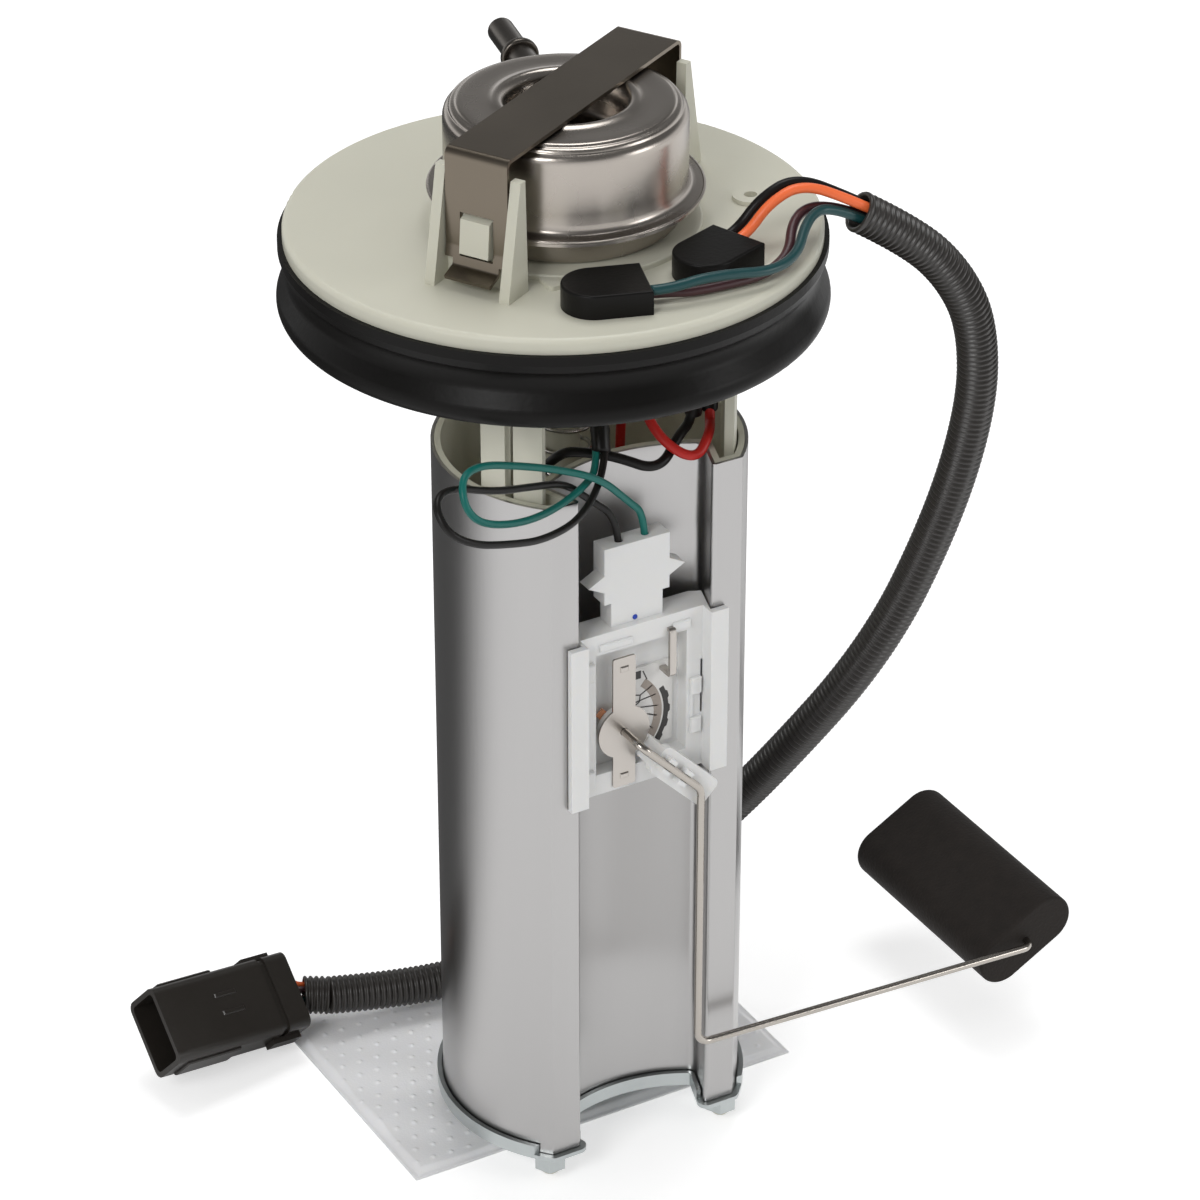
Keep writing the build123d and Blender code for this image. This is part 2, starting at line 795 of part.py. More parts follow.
# Guide legs: arc-shaped strips that hang from the flange and slide through the bridge
leg_middle = leg_radius - leg_thickness / 2
half_leg = radians(leg_half_width)
half_slot = asin(leg_slot / 2 / leg_middle)
for leg_name, leg_turn in (("guide_leg_left", leg_angle), ("guide_leg_right", 180.0 - leg_angle)):
    turn = radians(leg_turn)
    with BuildPart() as guide_leg:
        with BuildSketch(tube_plane(0)):
            with BuildLine():
                for start, stop in ((-half_leg, -half_slot), (half_slot, half_leg)):
                    CenterArc((0, 0), leg_middle, degrees(turn + start), degrees(stop - start))
            trace(line_width=leg_thickness)
        extrude(amount=leg_bottom)
        with BuildSketch(tube_plane(-spigot_depth)):
            with BuildLine():
                CenterArc((0, 0), leg_middle, degrees(turn - half_leg), degrees(2 * half_leg))
            trace(line_width=leg_thickness)
        extrude(amount=spigot_depth)
        with BuildSketch(tube_plane(bridge_bottom - fit_gap)):
            with BuildLine():
                for start, stop in ((-half_leg, -half_slot), (half_slot, half_leg)):
                    middle = (start + stop) / 2
                    CenterArc((0, 0), leg_middle - hook_reach, degrees(turn + middle) - 3.0, 6.0)
            trace(line_width=leg_thickness)
        extrude(amount=-hook_height)
    guide_leg.part.label = leg_name
    export_step(guide_leg.part, f"parts/{leg_name}.step")

# Centre tube: carries the fuel up to the can and guides the return spring
with BuildPart() as centre_tube:
    with BuildSketch(Plane(origin=(tube_x, centre_tube_y, centre_tube_bottom))):
        Circle(centre_tube_radius)
        Circle(centre_tube_bore, mode=Mode.SUBTRACT)
    extrude(amount=-centre_tube_bottom - tube_boss_height + 3.0)
centre_tube.part.label = "centre_tube"
export_step(centre_tube.part, "parts/centre_tube.step")

# Return spring: pushes the reservoir down against the tank floor
spring_high = -tube_boss_height - spring_wire / 2
spring_low = bridge_top + spring_wire / 2
with BuildPart() as return_spring:
    with BuildLine():
        coil = Helix(spring_pitch, spring_high - spring_low, spring_radius, center=(tube_x, centre_tube_y, spring_low))
    with BuildSketch(Plane(origin=coil @ 0, z_dir=coil % 0)):
        RegularPolygon(spring_wire / 2, 5)
    sweep(path=coil, is_frenet=True)
return_spring.part.label = "return_spring"
export_step(return_spring.part, "parts/return_spring.step")

# Sleeve: a folded aluminium tube with two front flats and an undercut channel between them
with BuildPart() as outer_sleeve:
    with BuildSketch(tube_plane(sleeve_bottom)):
        add(sleeve_outline(0))
        add(sleeve_outline(sleeve_wall), mode=Mode.SUBTRACT)
    extrude(amount=sleeve_top - sleeve_bottom)
    slot_x = -sleeve_radius * sin(radians(38.0))
    slot_y = tube_y - sleeve_radius * cos(radians(38.0))
    with Locations(Location((slot_x, slot_y, sleeve_top - slot_drop), (0, 0, -38.0))):
        Box(slot_width, 5.0, slot_height, mode=Mode.SUBTRACT)
outer_sleeve.part.label = "outer_sleeve"
export_step(outer_sleeve.part, "parts/outer_sleeve.step")

# Reservoir: the moulded cup inside the sleeve
with BuildPart() as reservoir_cup:
    with BuildSketch(tube_plane(sleeve_bottom)):
        add(sleeve_outline(liner_inset))
    extrude(amount=sleeve_top - sleeve_bottom)
    with BuildSketch(tube_plane(sleeve_bottom + floor_thickness)):
        add(sleeve_outline(inner_inset))
    extrude(amount=sleeve_top - sleeve_bottom, mode=Mode.SUBTRACT)
    with Locations((tube_x, pump_y, sleeve_bottom + floor_thickness)):
        Hole(strainer_neck_radius + 0.1, depth=floor_thickness)
    with Locations((nut_x, nut_y, sleeve_bottom + floor_thickness), (-nut_x, nut_y, sleeve_bottom + floor_thickness)):
        Hole(stud_radius + 0.1, depth=floor_thickness)
reservoir_cup.part.label = "reservoir_cup"
export_step(reservoir_cup.part, "parts/reservoir_cup.step")

# Bridge: the plate across the reservoir that carries the spring and guides the legs
with BuildPart() as reservoir_bridge:
    with BuildSketch(tube_plane(bridge_bottom)):
        add(sleeve_outline(inner_inset + 0.05))
        for leg_turn in (leg_angle, 180.0 - leg_angle):
            with BuildLine():
                CenterArc((0, 0), leg_middle, leg_turn - leg_half_width - 0.8, 2 * leg_half_width + 1.6)
            trace(line_width=leg_thickness + 2 * slide_gap, mode=Mode.SUBTRACT)
        with Locations((18.0, 16.0), (-18.0, 16.0)):
            Circle(6.0, mode=Mode.SUBTRACT)
    extrude(amount=bridge_thickness)
    with BuildSketch(Plane(origin=(tube_x, centre_tube_y, bridge_top))):
        Circle(spring_radius + spring_wire + cup_wall)
        Circle(spring_radius + spring_wire, mode=Mode.SUBTRACT)
    extrude(amount=cup_height)
    with Locations((tube_x, centre_tube_y, bridge_top)):
        Hole(centre_tube_radius + slide_gap, depth=bridge_thickness)
reservoir_bridge.part.label = "reservoir_bridge"
export_step(reservoir_bridge.part, "parts/reservoir_bridge.step")

# Base plate: zinc-plated steel with an upturned rim round the sleeve's foot
with BuildPart() as base_plate:
    with BuildSketch(tube_plane(plate_bottom)) as plate_face:
        add(sleeve_outline(0))
        offset(amount=plate_reach, kind=Kind.ARC, mode=Mode.REPLACE)
    extrude(amount=plate_thickness + plate_rim)
    with BuildSketch(tube_plane(plate_top)):
        add(sleeve_outline(0))
        offset(amount=plate_rim_gap, kind=Kind.ARC, mode=Mode.REPLACE)
    extrude(amount=plate_rim, mode=Mode.SUBTRACT)
    with BuildSketch(tube_plane(plate_top)):
        with Locations((0, -flat_distance)):
            Rectangle(2 * sleeve_radius, 2 * plate_reach + 2, align=(Align.CENTER, Align.CENTER))
    extrude(amount=plate_rim, mode=Mode.SUBTRACT)
    with Locations((tube_x, pump_y, plate_top)):
        Hole(strainer_neck_radius + 0.1, depth=plate_thickness)
    with Locations((nut_x, nut_y, plate_top), (-nut_x, nut_y, plate_top)):
        Hole(stud_radius + 0.1, depth=plate_thickness)
base_plate.part.label = "base_plate"
export_step(base_plate.part, "parts/base_plate.step")

# Two studs moulded in the cup's floor, and the two nuts that hold the plate
with BuildPart() as base_studs:
    with BuildSketch(Plane.XY.offset(sleeve_bottom + stud_rise)):
        with Locations((nut_x, nut_y), (-nut_x, nut_y)):
            Circle(stud_radius)
    extrude(amount=-(stud_rise + plate_gap + plate_thickness + nut_height + nut_tip))
    chamfer(base_studs.edges().group_by(Axis.Z)[0], 0.6)
base_studs.part.label = "base_studs"
export_step(base_studs.part, "parts/base_studs.step")

with BuildPart() as base_nuts:
    with BuildSketch(Plane.XY.offset(plate_bottom)):
        with Locations((nut_x, nut_y), (-nut_x, nut_y)):
            RegularPolygon(nut_flats / 2, 6, major_radius=False)
            Circle(stud_radius + 0.05, mode=Mode.SUBTRACT)
    extrude(amount=-nut_height)
base_nuts.part.label = "base_nuts"
export_step(base_nuts.part, "parts/base_nuts.step")

# Strainer: a felt bag on a short moulded neck under the pump's inlet
with BuildPart() as strainer_sock:
    with BuildSketch(Plane.XY.offset(ground)):
        with Locations((0, (sock_front + sock_back) / 2)):
            RectangleRounded(2 * sock_half_width, sock_back - sock_front, sock_corner)
    extrude(amount=sock_thickness)
    fillet(strainer_sock.edges().group_by(Axis.Z)[-1], 0.8)
strainer_sock.part.label = "strainer_sock"
export_step(strainer_sock.part, "parts/strainer_sock.step")

neck_top = sleeve_bottom + floor_thickness + 1.6
with BuildPart() as strainer_neck:
    with BuildSketch(Plane(origin=(tube_x, pump_y, ground + sock_thickness))):
        Circle(strainer_neck_radius)
        Circle(strainer_neck_bore, mode=Mode.SUBTRACT)
    extrude(amount=neck_top - ground - sock_thickness)
strainer_neck.part.label = "strainer_neck"
export_step(strainer_neck.part, "parts/strainer_neck.step")

# Pump: a steel shell round two magnets, closed by an inlet body and an outlet cap
with BuildPart() as pump_shell:
    with BuildSketch(Plane(origin=(tube_x, pump_y, pump_bottom))):
        Circle(pump_radius)
        Circle(pump_radius - pump_wall, mode=Mode.SUBTRACT)
    extrude(amount=pump_top - pump_bottom)
pump_shell.part.label = "pump_shell"
export_step(pump_shell.part, "parts/pump_shell.step")

inside = pump_radius - pump_wall - magnet_gap
chamber_floor = pump_bottom + cap_height
chamber_roof = chamber_floor + impeller_thickness + 0.6
with BuildPart() as pump_inlet_body:
    with BuildSketch(Plane(origin=(tube_x, pump_y, pump_bottom))):
        Circle(inside)
    extrude(amount=cap_height)
    with BuildSketch(Plane(origin=(tube_x, pump_y, pump_bottom))):
        Circle(strainer_neck_bore - 0.1)
        Circle(strainer_neck_bore - 2.0, mode=Mode.SUBTRACT)
    extrude(amount=-6.5)
    with Locations((tube_x, pump_y, chamber_floor)):
        Hole(shaft_radius + bearing_gap, depth=cap_height)
pump_inlet_body.part.label = "pump_inlet_body"
export_step(pump_inlet_body.part, "parts/pump_inlet_body.step")

with BuildPart() as pump_mid_plate:
    with BuildSketch(Plane(origin=(tube_x, pump_y, chamber_roof))):
        Circle(inside)
        Circle(shaft_radius + bearing_gap, mode=Mode.SUBTRACT)
        with PolarLocations(impeller_radius - 3.0, 1):
            Circle(1.5, mode=Mode.SUBTRACT)
    extrude(amount=2.4)
pump_mid_plate.part.label = "pump_mid_plate"
export_step(pump_mid_plate.part, "parts/pump_mid_plate.step")

with BuildPart() as pump_outlet_cap:
    with BuildSketch(Plane(origin=(tube_x, pump_y, pump_top - cap_height + 2.0))):
        Circle(inside)
    extrude(amount=cap_height)
    with BuildSketch(Plane(origin=(tube_x, pump_y, pump_top + 2.0))):
        Circle(outlet_radius)
        Circle(outlet_radius - 1.4, mode=Mode.SUBTRACT)
    extrude(amount=outlet_height)
    with Locations((tube_x, pump_y, pump_top - 1.0)):
        Hole(shaft_radius + bearing_gap, depth=cap_height)
pump_outlet_cap.part.label = "pump_outlet_cap"
export_step(pump_outlet_cap.part, "parts/pump_outlet_cap.step")

rotor_low = chamber_roof + 2.4 + 4.0
rotor_high = rotor_low + armature_length
with BuildPart() as pump_magnets:
    with BuildSketch(Plane(origin=(tube_x, pump_y, rotor_low - 2.0))):
        Circle(inside)
        Circle(inside - magnet_thickness, mode=Mode.SUBTRACT)
        Rectangle(2 * pump_radius, 10.0, mode=Mode.SUBTRACT)
    extrude(amount=armature_length + 4.0)
pump_magnets.part.label = "pump_magnets"
export_step(pump_magnets.part, "parts/pump_magnets.step")

with BuildPart() as pump_armature:
    with BuildSketch(Plane(origin=(tube_x, pump_y, rotor_low))):
        Circle(inside - magnet_thickness - armature_gap)
        Circle(shaft_radius, mode=Mode.SUBTRACT)
        with PolarLocations(inside - magnet_thickness - armature_gap, 7):
            Rectangle(8.0, 1.6, mode=Mode.SUBTRACT)
    extrude(amount=armature_length)
    with BuildSketch(Plane(origin=(tube_x, pump_y, rotor_high))):
        Circle(commutator_radius)
        Circle(shaft_radius, mode=Mode.SUBTRACT)
    extrude(amount=5.0)
pump_armature.part.label = "pump_armature"
export_step(pump_armature.part, "parts/pump_armature.step")

with BuildPart() as pump_shaft:
    with BuildSketch(Plane(origin=(tube_x, pump_y, pump_bottom + 1.0))):
        Circle(shaft_radius)
    extrude(amount=pump_top - 2.0 - pump_bottom)
pump_shaft.part.label = "pump_shaft"
export_step(pump_shaft.part, "parts/pump_shaft.step")

with BuildPart() as pump_impeller:
    with BuildSketch(Plane(origin=(tube_x, pump_y, chamber_floor + 0.3))):
        Circle(impeller_radius)
        Circle(shaft_radius, mode=Mode.SUBTRACT)
        with PolarLocations(impeller_radius, impeller_vanes):
            Rectangle(5.0, 2.6, mode=Mode.SUBTRACT)
    extrude(amount=impeller_thickness)
pump_impeller.part.label = "pump_impeller"
export_step(pump_impeller.part, "parts/pump_impeller.step")

with BuildPart() as pump_brushes:
    with BuildSketch(Plane(origin=(tube_x, pump_y, rotor_high + 0.8))):
        for side in (-1, 1):
            with Locations((side * (commutator_radius + 0.05), 0)):
                Rectangle(8.0, brush_width, align=(Align.MIN if side > 0 else Align.MAX, Align.CENTER))
    extrude(amount=brush_width)
pump_brushes.part.label = "pump_brushes"
export_step(pump_brushes.part, "parts/pump_brushes.step")

# Rubber rings that hold the pump in the reservoir and keep its noise in
with BuildPart() as pump_isolators:
    cup_floor = sleeve_bottom + floor_thickness
    for level, tall in ((cup_floor, pump_bottom - cup_floor + isolator_height), (pump_top - 15.0, isolator_height)):
        with BuildSketch(Plane(origin=(tube_x, pump_y, level))):
            Circle(pump_radius + isolator_thickness)
            Circle(pump_radius, mode=Mode.SUBTRACT)
            with PolarLocations(pump_radius + isolator_thickness + 0.6, 8, start_angle=22.5):
                Circle(2.2, mode=Mode.SUBTRACT)
        extrude(amount=tall)
pump_isolators.part.label = "pump_isolators"
export_step(pump_isolators.part, "parts/pump_isolators.step")

# Fuel hose from the pump to the centre tube, with its two clamps
outlet_tip = pump_top + 2.0 + outlet_height
with BuildPart() as fuel_hose:
    with BuildSketch(Plane(origin=(tube_x, pump_y, outlet_tip - hose_grip))):
        Circle(hose_radius)
        Circle(centre_tube_radius, mode=Mode.SUBTRACT)
    extrude(amount=centre_tube_bottom + hose_grip - outlet_tip + hose_grip)
fuel_hose.part.label = "fuel_hose"
export_step(fuel_hose.part, "parts/fuel_hose.step")

for clamp_name, clamp_level in (
    ("hose_clamp_upper", centre_tube_bottom + 2.0),
    ("hose_clamp_lower", outlet_tip - hose_grip + 2.0),
):
    with BuildPart() as hose_clamp:
        with BuildSketch(Plane(origin=(tube_x, pump_y, clamp_level))):
            Circle(hose_radius + clamp_thickness)
            with Locations((0, hose_radius)):
                Rectangle(3.0, 5.0, align=(Align.CENTER, Align.MIN))
            Circle(hose_radius, mode=Mode.SUBTRACT)
        extrude(amount=clamp_width)
    hose_clamp.part.label = clamp_name
    export_step(hose_clamp.part, f"parts/{clamp_name}.step")

# Sender housing: a white moulding that slides into the undercut channel, with lips over the two flats
slope = (channel_shoulder - channel_mouth) / (flat_distance - channel_depth)
toe_depth = deck_front + 6.5
neck_half = channel_mouth - sender_gap
toe_half = neck_half + slope * (toe_depth - flat_y) - 0.2
lip_front = flat_y - sender_gap - rail_lip_thickness
with BuildPart() as sender_housing:
    with BuildSketch(Plane.XY.offset(sender_bottom)):
        with BuildLine():
            Polyline(
                (-neck_half - rail_lip_reach, lip_front),
                (-neck_half - rail_lip_reach, flat_y - sender_gap),
                (-neck_half, flat_y - sender_gap),
                (-toe_half, toe_depth),
                (-toe_half + 3.0, sender_floor),
                (toe_half - 3.0, sender_floor),
                (toe_half, toe_depth),
                (neck_half, flat_y - sender_gap),
                (neck_half + rail_lip_reach, flat_y - sender_gap),
                (neck_half + rail_lip_reach, lip_front),
                close=True,
            )
        make_face()
    extrude(amount=sender_top - sender_bottom)
    with BuildSketch(Plane.XZ.offset(-lip_front)):
        with Locations((0, (sender_top + sender_bottom) / 2)):
            Rectangle(2 * (neck_half - 0.6), sender_top - sender_bottom + 2.0)
    extrude(amount=lip_front - deck_front, mode=Mode.SUBTRACT)
    with BuildSketch(Plane.XZ.offset(-deck_front)):
        with Locations((0, (sender_top + sender_bottom) / 2)):
            Rectangle(2 * (neck_half - rail_width), sender_top - sender_bottom - 2 * bar_height)
    extrude(amount=deck_front - (sender_floor - sender_deck), mode=Mode.SUBTRACT)
    for side in (-1, 1):
        with BuildSketch(Plane.XZ.offset(-deck_front)):
            with Locations((side * (neck_half + 0.4), (sender_top + sender_bottom) / 2)):
                Rectangle(3.0, 16.0)
        extrude(amount=lip_front - deck_front - 2.0, mode=Mode.SUBTRACT)
    with BuildSketch(Plane.XZ.offset(sender_deck - sender_floor)):
        with Locations((pivot_x, pivot_z)):
            Circle(4.0)
    extrude(amount=card_thickness)
    with BuildSketch(Plane.XZ.offset(sender_deck - sender_floor + card_thickness)):
        with Locations((pivot_x, pivot_z)):
            Circle(wire_radius + bearing_gap)
    extrude(amount=-sender_deck - card_thickness, mode=Mode.SUBTRACT)
sender_housing.part.label = "sender_housing"
export_step(sender_housing.part, "parts/sender_housing.step")

# Resistor card on the housing's floor, with a hole for the hub
card_back = sender_floor - sender_deck
with BuildPart() as resistor_card:
    with BuildSketch(Plane.XZ.offset(-card_back)):
        with Locations(((card_left + card_right) / 2, (card_top + card_bottom) / 2)):
            RectangleRounded(card_right - card_left, card_top - card_bottom, card_corner)
        with Locations((pivot_x, pivot_z)):
            Circle(4.6, mode=Mode.SUBTRACT)
    extrude(amount=card_thickness)
resistor_card.part.label = "resistor_card"
export_step(resistor_card.part, "parts/resistor_card.step")

# Keeper: a tinned steel strip with a round middle that holds the arm's hub on its pivot
with BuildPart() as keeper_plate:
    with BuildSketch(Plane.XZ.offset(-deck_front)):
        with Locations((pivot_x, (keeper_top + keeper_bottom) / 2)):
            RectangleRounded(keeper_width, keeper_top - keeper_bottom, 0.6)
        with Locations((pivot_x, pivot_z)):
            Circle(keeper_disc)
            Circle(wire_radius + 0.1, mode=Mode.SUBTRACT)
    extrude(amount=keeper_thickness)
keeper_plate.part.label = "keeper_plate"
export_step(keeper_plate.part, "parts/keeper_plate.step")

# Sender plug: a white two-way connector with a wedge on each side, on top of the housing
with BuildPart() as sender_plug:
    with BuildSketch(Plane.XY.offset(plug_waist)):
        with Locations((plug_middle, plug_front)):
            Rectangle(plug_right - plug_left, plug_depth, align=(Align.CENTER, Align.MIN))
    extrude(amount=plug_top - plug_waist)
    with BuildSketch(Plane.XY.offset(sender_top)):
        with Locations((plug_middle, plug_front)):
            Rectangle(plug_foot_width, plug_depth, align=(Align.CENTER, Align.MIN))
    extrude(amount=plug_waist - sender_top)
    with BuildSketch(Plane.XZ.offset(-plug_front)):
        for side, edge, level in ((-1, plug_left, plug_waist + 6.0), (1, plug_right, plug_waist + 6.0)):
            with BuildLine():
                Polyline(
                    (edge - side * 1.0, level + wing_height / 2),
                    (edge + side * wing_reach, level),
                    (edge - side * 1.0, level - wing_height / 2),
                    close=True,
                )
            make_face()
    extrude(amount=-plug_depth + 1.0)
    with Locations((plug_middle - plug_lead_pitch, plug_front + 2.6, plug_top), (plug_middle + plug_lead_pitch, plug_front + 2.6, plug_top)):
        Hole(fine_lead_radius + 0.05, depth=6.0)
sender_plug.part.label = "sender_plug"
export_step(sender_plug.part, "parts/sender_plug.step")

# Terminal clip: a tinned wire staple that joins the card to the plug
with BuildPart() as terminal_clip:
    with BuildLine() as staple:
        FilletPolyline(
            (clip_x, card_back - card_thickness, clip_bottom),
            (clip_x, deck_front - 1.1, clip_bottom),
            (clip_x, deck_front - 1.1, clip_top),
            (clip_x, deck_front, clip_top),
            radius=0.9,
        )
    with BuildSketch(Plane(origin=staple.line @ 0, z_dir=staple.line % 0)):
        Rectangle(1.0, 1.8)
    sweep(path=staple.line)
terminal_clip.part.label = "terminal_clip"
export_step(terminal_clip.part, "parts/terminal_clip.step")

# Float wire: bent from one steel rod, from the pivot to the float's axle
float_start = wire_y + wire_bend + float_end_gap - 0.2
float_stop = float_start + float_length
wire_points = (
    (pivot_x, card_back + 1.5, pivot_z),
    (pivot_x, wire_y, pivot_z),
    (knee_x, wire_y, knee_z),
    (heel_x, wire_y, heel_z),
    (float_x, wire_y, float_z),
    (float_x, float_stop + tip_length, float_z),
)
with BuildPart() as float_wire:
    with BuildLine() as rod:
        FilletPolyline(*wire_points, radius=(wire_bend, 5.0, 4.0, wire_bend))
    with BuildSketch(Plane(origin=rod.line @ 0, z_dir=rod.line % 0)):
        Circle(wire_radius)
    sweep(path=rod.line)
    with BuildSketch(Plane.XZ.offset(-float_stop - float_end_gap)):
        with Locations((float_x, float_z)):
            Circle(wire_radius + 0.9)
    extrude(amount=-1.2)
float_wire.part.label = "float_wire"
export_step(float_wire.part, "parts/float_wire.step")

# Wiper arm: a white moulding that turns on the housing and carries the wire in two clips
arm_run = sqrt((knee_x - pivot_x) ** 2 + (knee_z - pivot_z) ** 2)
arm_along = ((knee_x - pivot_x) / arm_run, 0, (knee_z - pivot_z) / arm_run)
arm_plane = Plane(origin=(pivot_x, 0, pivot_z), x_dir=arm_along, z_dir=(0, -1, 0))
hub_back = card_back - card_thickness - sender_gap - 0.4
hub_front = deck_front + hub_front_gap
step_reach = keeper_disc + 1.0
with BuildPart() as wiper_arm:
    with BuildSketch(arm_plane.offset(-hub_back)):
        Circle(hub_radius)
        Circle(wire_radius, mode=Mode.SUBTRACT)
    extrude(amount=hub_back - hub_front)
    with BuildSketch(arm_plane.offset(-hub_front - 2.2)):
        with Locations((hub_radius - 1.5, 0)):
            Rectangle(step_reach - hub_radius + 5.0, arm_width, align=(Align.MIN, Align.CENTER))
    extrude(amount=2.2)
    with BuildSketch(arm_plane.offset(-hub_front - 2.2)):
        with Locations((step_reach, 0)):
            Rectangle(3.5, arm_width, align=(Align.MIN, Align.CENTER))
    extrude(amount=hub_front + 2.2 - arm_front)
    with BuildSketch(arm_plane.offset(-arm_back)):
        with Locations((step_reach, 0)):
            RectangleRounded(arm_reach - step_reach, arm_width + 2.4, 2.0, align=(Align.MIN, Align.CENTER))
    extrude(amount=arm_back - arm_front)
    with BuildSketch(arm_plane.offset(-arm_front)):
        for reach in (step_reach + 3.0, arm_run - 7.0):
            for side in (-1, 1):
                with Locations((reach, side * (wire_radius + 0.6))):
                    Rectangle(3.0, 1.2)
    extrude(amount=arm_front - wire_y + 0.6)
wiper_arm.part.label = "wiper_arm"
export_step(wiper_arm.part, "parts/wiper_arm.step")

# Copper contacts on the arm that sweep the card; the tail is short, so it clears the housing's wall
contact_reach = 11.0
contact_tail = 7.6
with BuildPart() as wiper_contacts:
    with BuildSketch(arm_plane.offset(-hub_back - 0.4)):
        with Locations(((contact_reach - contact_tail) / 2, 0)):
            Rectangle(contact_reach + contact_tail, 2.6)
        with Locations((0, 0)):
            Circle(4.2)
            Circle(wire_radius + 0.05, mode=Mode.SUBTRACT)
    extrude(amount=0.4)
wiper_contacts.part.label = "wiper_contacts"
export_step(wiper_contacts.part, "parts/wiper_contacts.step")

# Float: a block of black foam that turns freely on the wire's end
with BuildPart() as foam_float:
    with BuildSketch(Plane.XZ.offset(-float_start)):
        with Locations(Location((float_x, float_z), float_tilt)):
            SlotOverall(float_width, float_height)
    extrude(amount=-float_length)
    fillet(foam_float.edges().group_by(Axis.Y)[-1], 2.0)
    fillet(foam_float.edges().group_by(Axis.Y)[0], 0.8)
    with Locations(Location((float_x, float_start, float_z), (90, 0, 0))):
        Hole(wire_radius + float_bore_gap, depth=float_length)
foam_float.part.label = "foam_float"
export_step(foam_float.part, "parts/foam_float.step")

# Leads inside the module, from the flange's pins to the pump and to the sender's plug
leads = {}
for lead_name, lead_points, radius in (
    ("pump_lead_red", pump_red_route, lead_radius),
    ("pump_lead_black", pump_black_route, lead_radius),
    ("sender_lead_green", sender_green_route, fine_lead_radius),
    ("sender_lead_black", sender_black_route, fine_lead_radius),
    ("loom_lead_orange", loom_orange_route, lead_radius),
    ("loom_lead_black", loom_black_route, lead_radius),
    ("loom_lead_teal", loom_teal_route, lead_radius),
    ("loom_lead_purple", loom_purple_route, lead_radius),
):
    print(lead_name)
    cord = lead(lead_points, radius)
    cord.label = lead_name
    leads[lead_name] = cord
    export_step(cord, f"parts/{lead_name}.step")

# Black sleeves on the pump leads, and the shrink sleeve round the two sender leads
with BuildPart() as lead_crimps:
    with BuildSketch(Plane.XY.offset(crimp_top)):
        with Locations(*crimp_spots):
            Circle(crimp_radius)
    extrude(amount=-crimp_length)
    add(leads["pump_lead_red"], mode=Mode.SUBTRACT)
    add(leads["pump_lead_black"], mode=Mode.SUBTRACT)
lead_crimps.part.label = "lead_crimps"
export_step(lead_crimps.part, "parts/lead_crimps.step")

with BuildPart() as sender_lead_sleeve:
    with BuildSketch(Plane(origin=shrink_start, x_dir=shrink_side, z_dir=shrink_along)):
        Circle(sender_crimp_radius)
    extrude(amount=shrink_length)
    add(leads["sender_lead_green"], mode=Mode.SUBTRACT)
    add(leads["sender_lead_black"], mode=Mode.SUBTRACT)
sender_lead_sleeve.part.label = "sender_lead_sleeve"
export_step(sender_lead_sleeve.part, "parts/sender_lead_sleeve.step")

# Loom: corrugated conduit, hollow, from the leads over the flange's edge to the plug
with BuildPart() as loom_conduit:
    with BuildLine():
        loom_line = FilletPolyline(*loom_route, radius=corner_radii(loom_route))
    with BuildSketch(Plane(origin=loom_line @ 0, z_dir=loom_line % 0)):
        Circle(loom_radius)
        Circle(loom_radius - loom_wall, mode=Mode.SUBTRACT)
    sweep(path=loom_line)
print("loom", round(loom_line.length, 1), [round(r, 1) for r in corner_radii(loom_route)])
loom_conduit.part.label = "loom_conduit"
export_step(loom_conduit.part, "parts/loom_conduit.step")

# Plug: a four-way housing with an open cavity at the mouth and closed cells behind it
plug_mouth_plane = Plane(origin=plug_mouth, x_dir=plug_across, z_dir=plug_along)
ways = [(-1.5 * plug_way_pitch, 0), (-0.5 * plug_way_pitch, 0), (0.5 * plug_way_pitch, 0), (1.5 * plug_way_pitch, 0)]
with BuildPart() as plug_housing:
    with BuildSketch(plug_mouth_plane):
        RectangleRounded(plug_width, plug_thickness, plug_corner)
    extrude(amount=plug_length)
    with BuildSketch(plug_mouth_plane):
        RectangleRounded(plug_width - 2 * plug_wall, plug_thickness - 2 * plug_wall, plug_corner - 1.0)
    extrude(amount=plug_cavity, mode=Mode.SUBTRACT)
    with BuildSketch(plug_mouth_plane.offset(plug_length)):
        with Locations(*ways):
            Circle(lead_radius + 0.05)
    extrude(amount=-plug_tail_depth, mode=Mode.SUBTRACT)
    with BuildSketch(plug_mouth_plane.offset(plug_length - plug_band)):
        RectangleRounded(plug_width, plug_thickness, plug_corner)
        RectangleRounded(plug_width - 1.6, plug_thickness - 1.6, plug_corner - 0.8, mode=Mode.SUBTRACT)
    extrude(amount=plug_band_width, mode=Mode.SUBTRACT)
plug_housing.part.label = "plug_housing"
export_step(plug_housing.part, "parts/plug_housing.step")

with BuildPart() as plug_latch:
    with BuildSketch(plug_mouth_plane.offset(plug_length - latch_length - 2.0)):
        for side in (-1, 1):
            with Locations((side * plug_width / 2, 0)):
                Rectangle(latch_height, latch_width, align=(Align.MIN if side > 0 else Align.MAX, Align.CENTER))
    extrude(amount=latch_length)
plug_latch.part.label = "plug_latch"
export_step(plug_latch.part, "parts/plug_latch.step")

with BuildPart() as plug_terminals:
    with BuildSketch(plug_mouth_plane.offset(plug_cavity)):
        with Locations(*ways):
            Rectangle(terminal_width, terminal_width)
    extrude(amount=-terminal_length)
plug_terminals.part.label = "plug_terminals"
export_step(plug_terminals.part, "parts/plug_terminals.step")

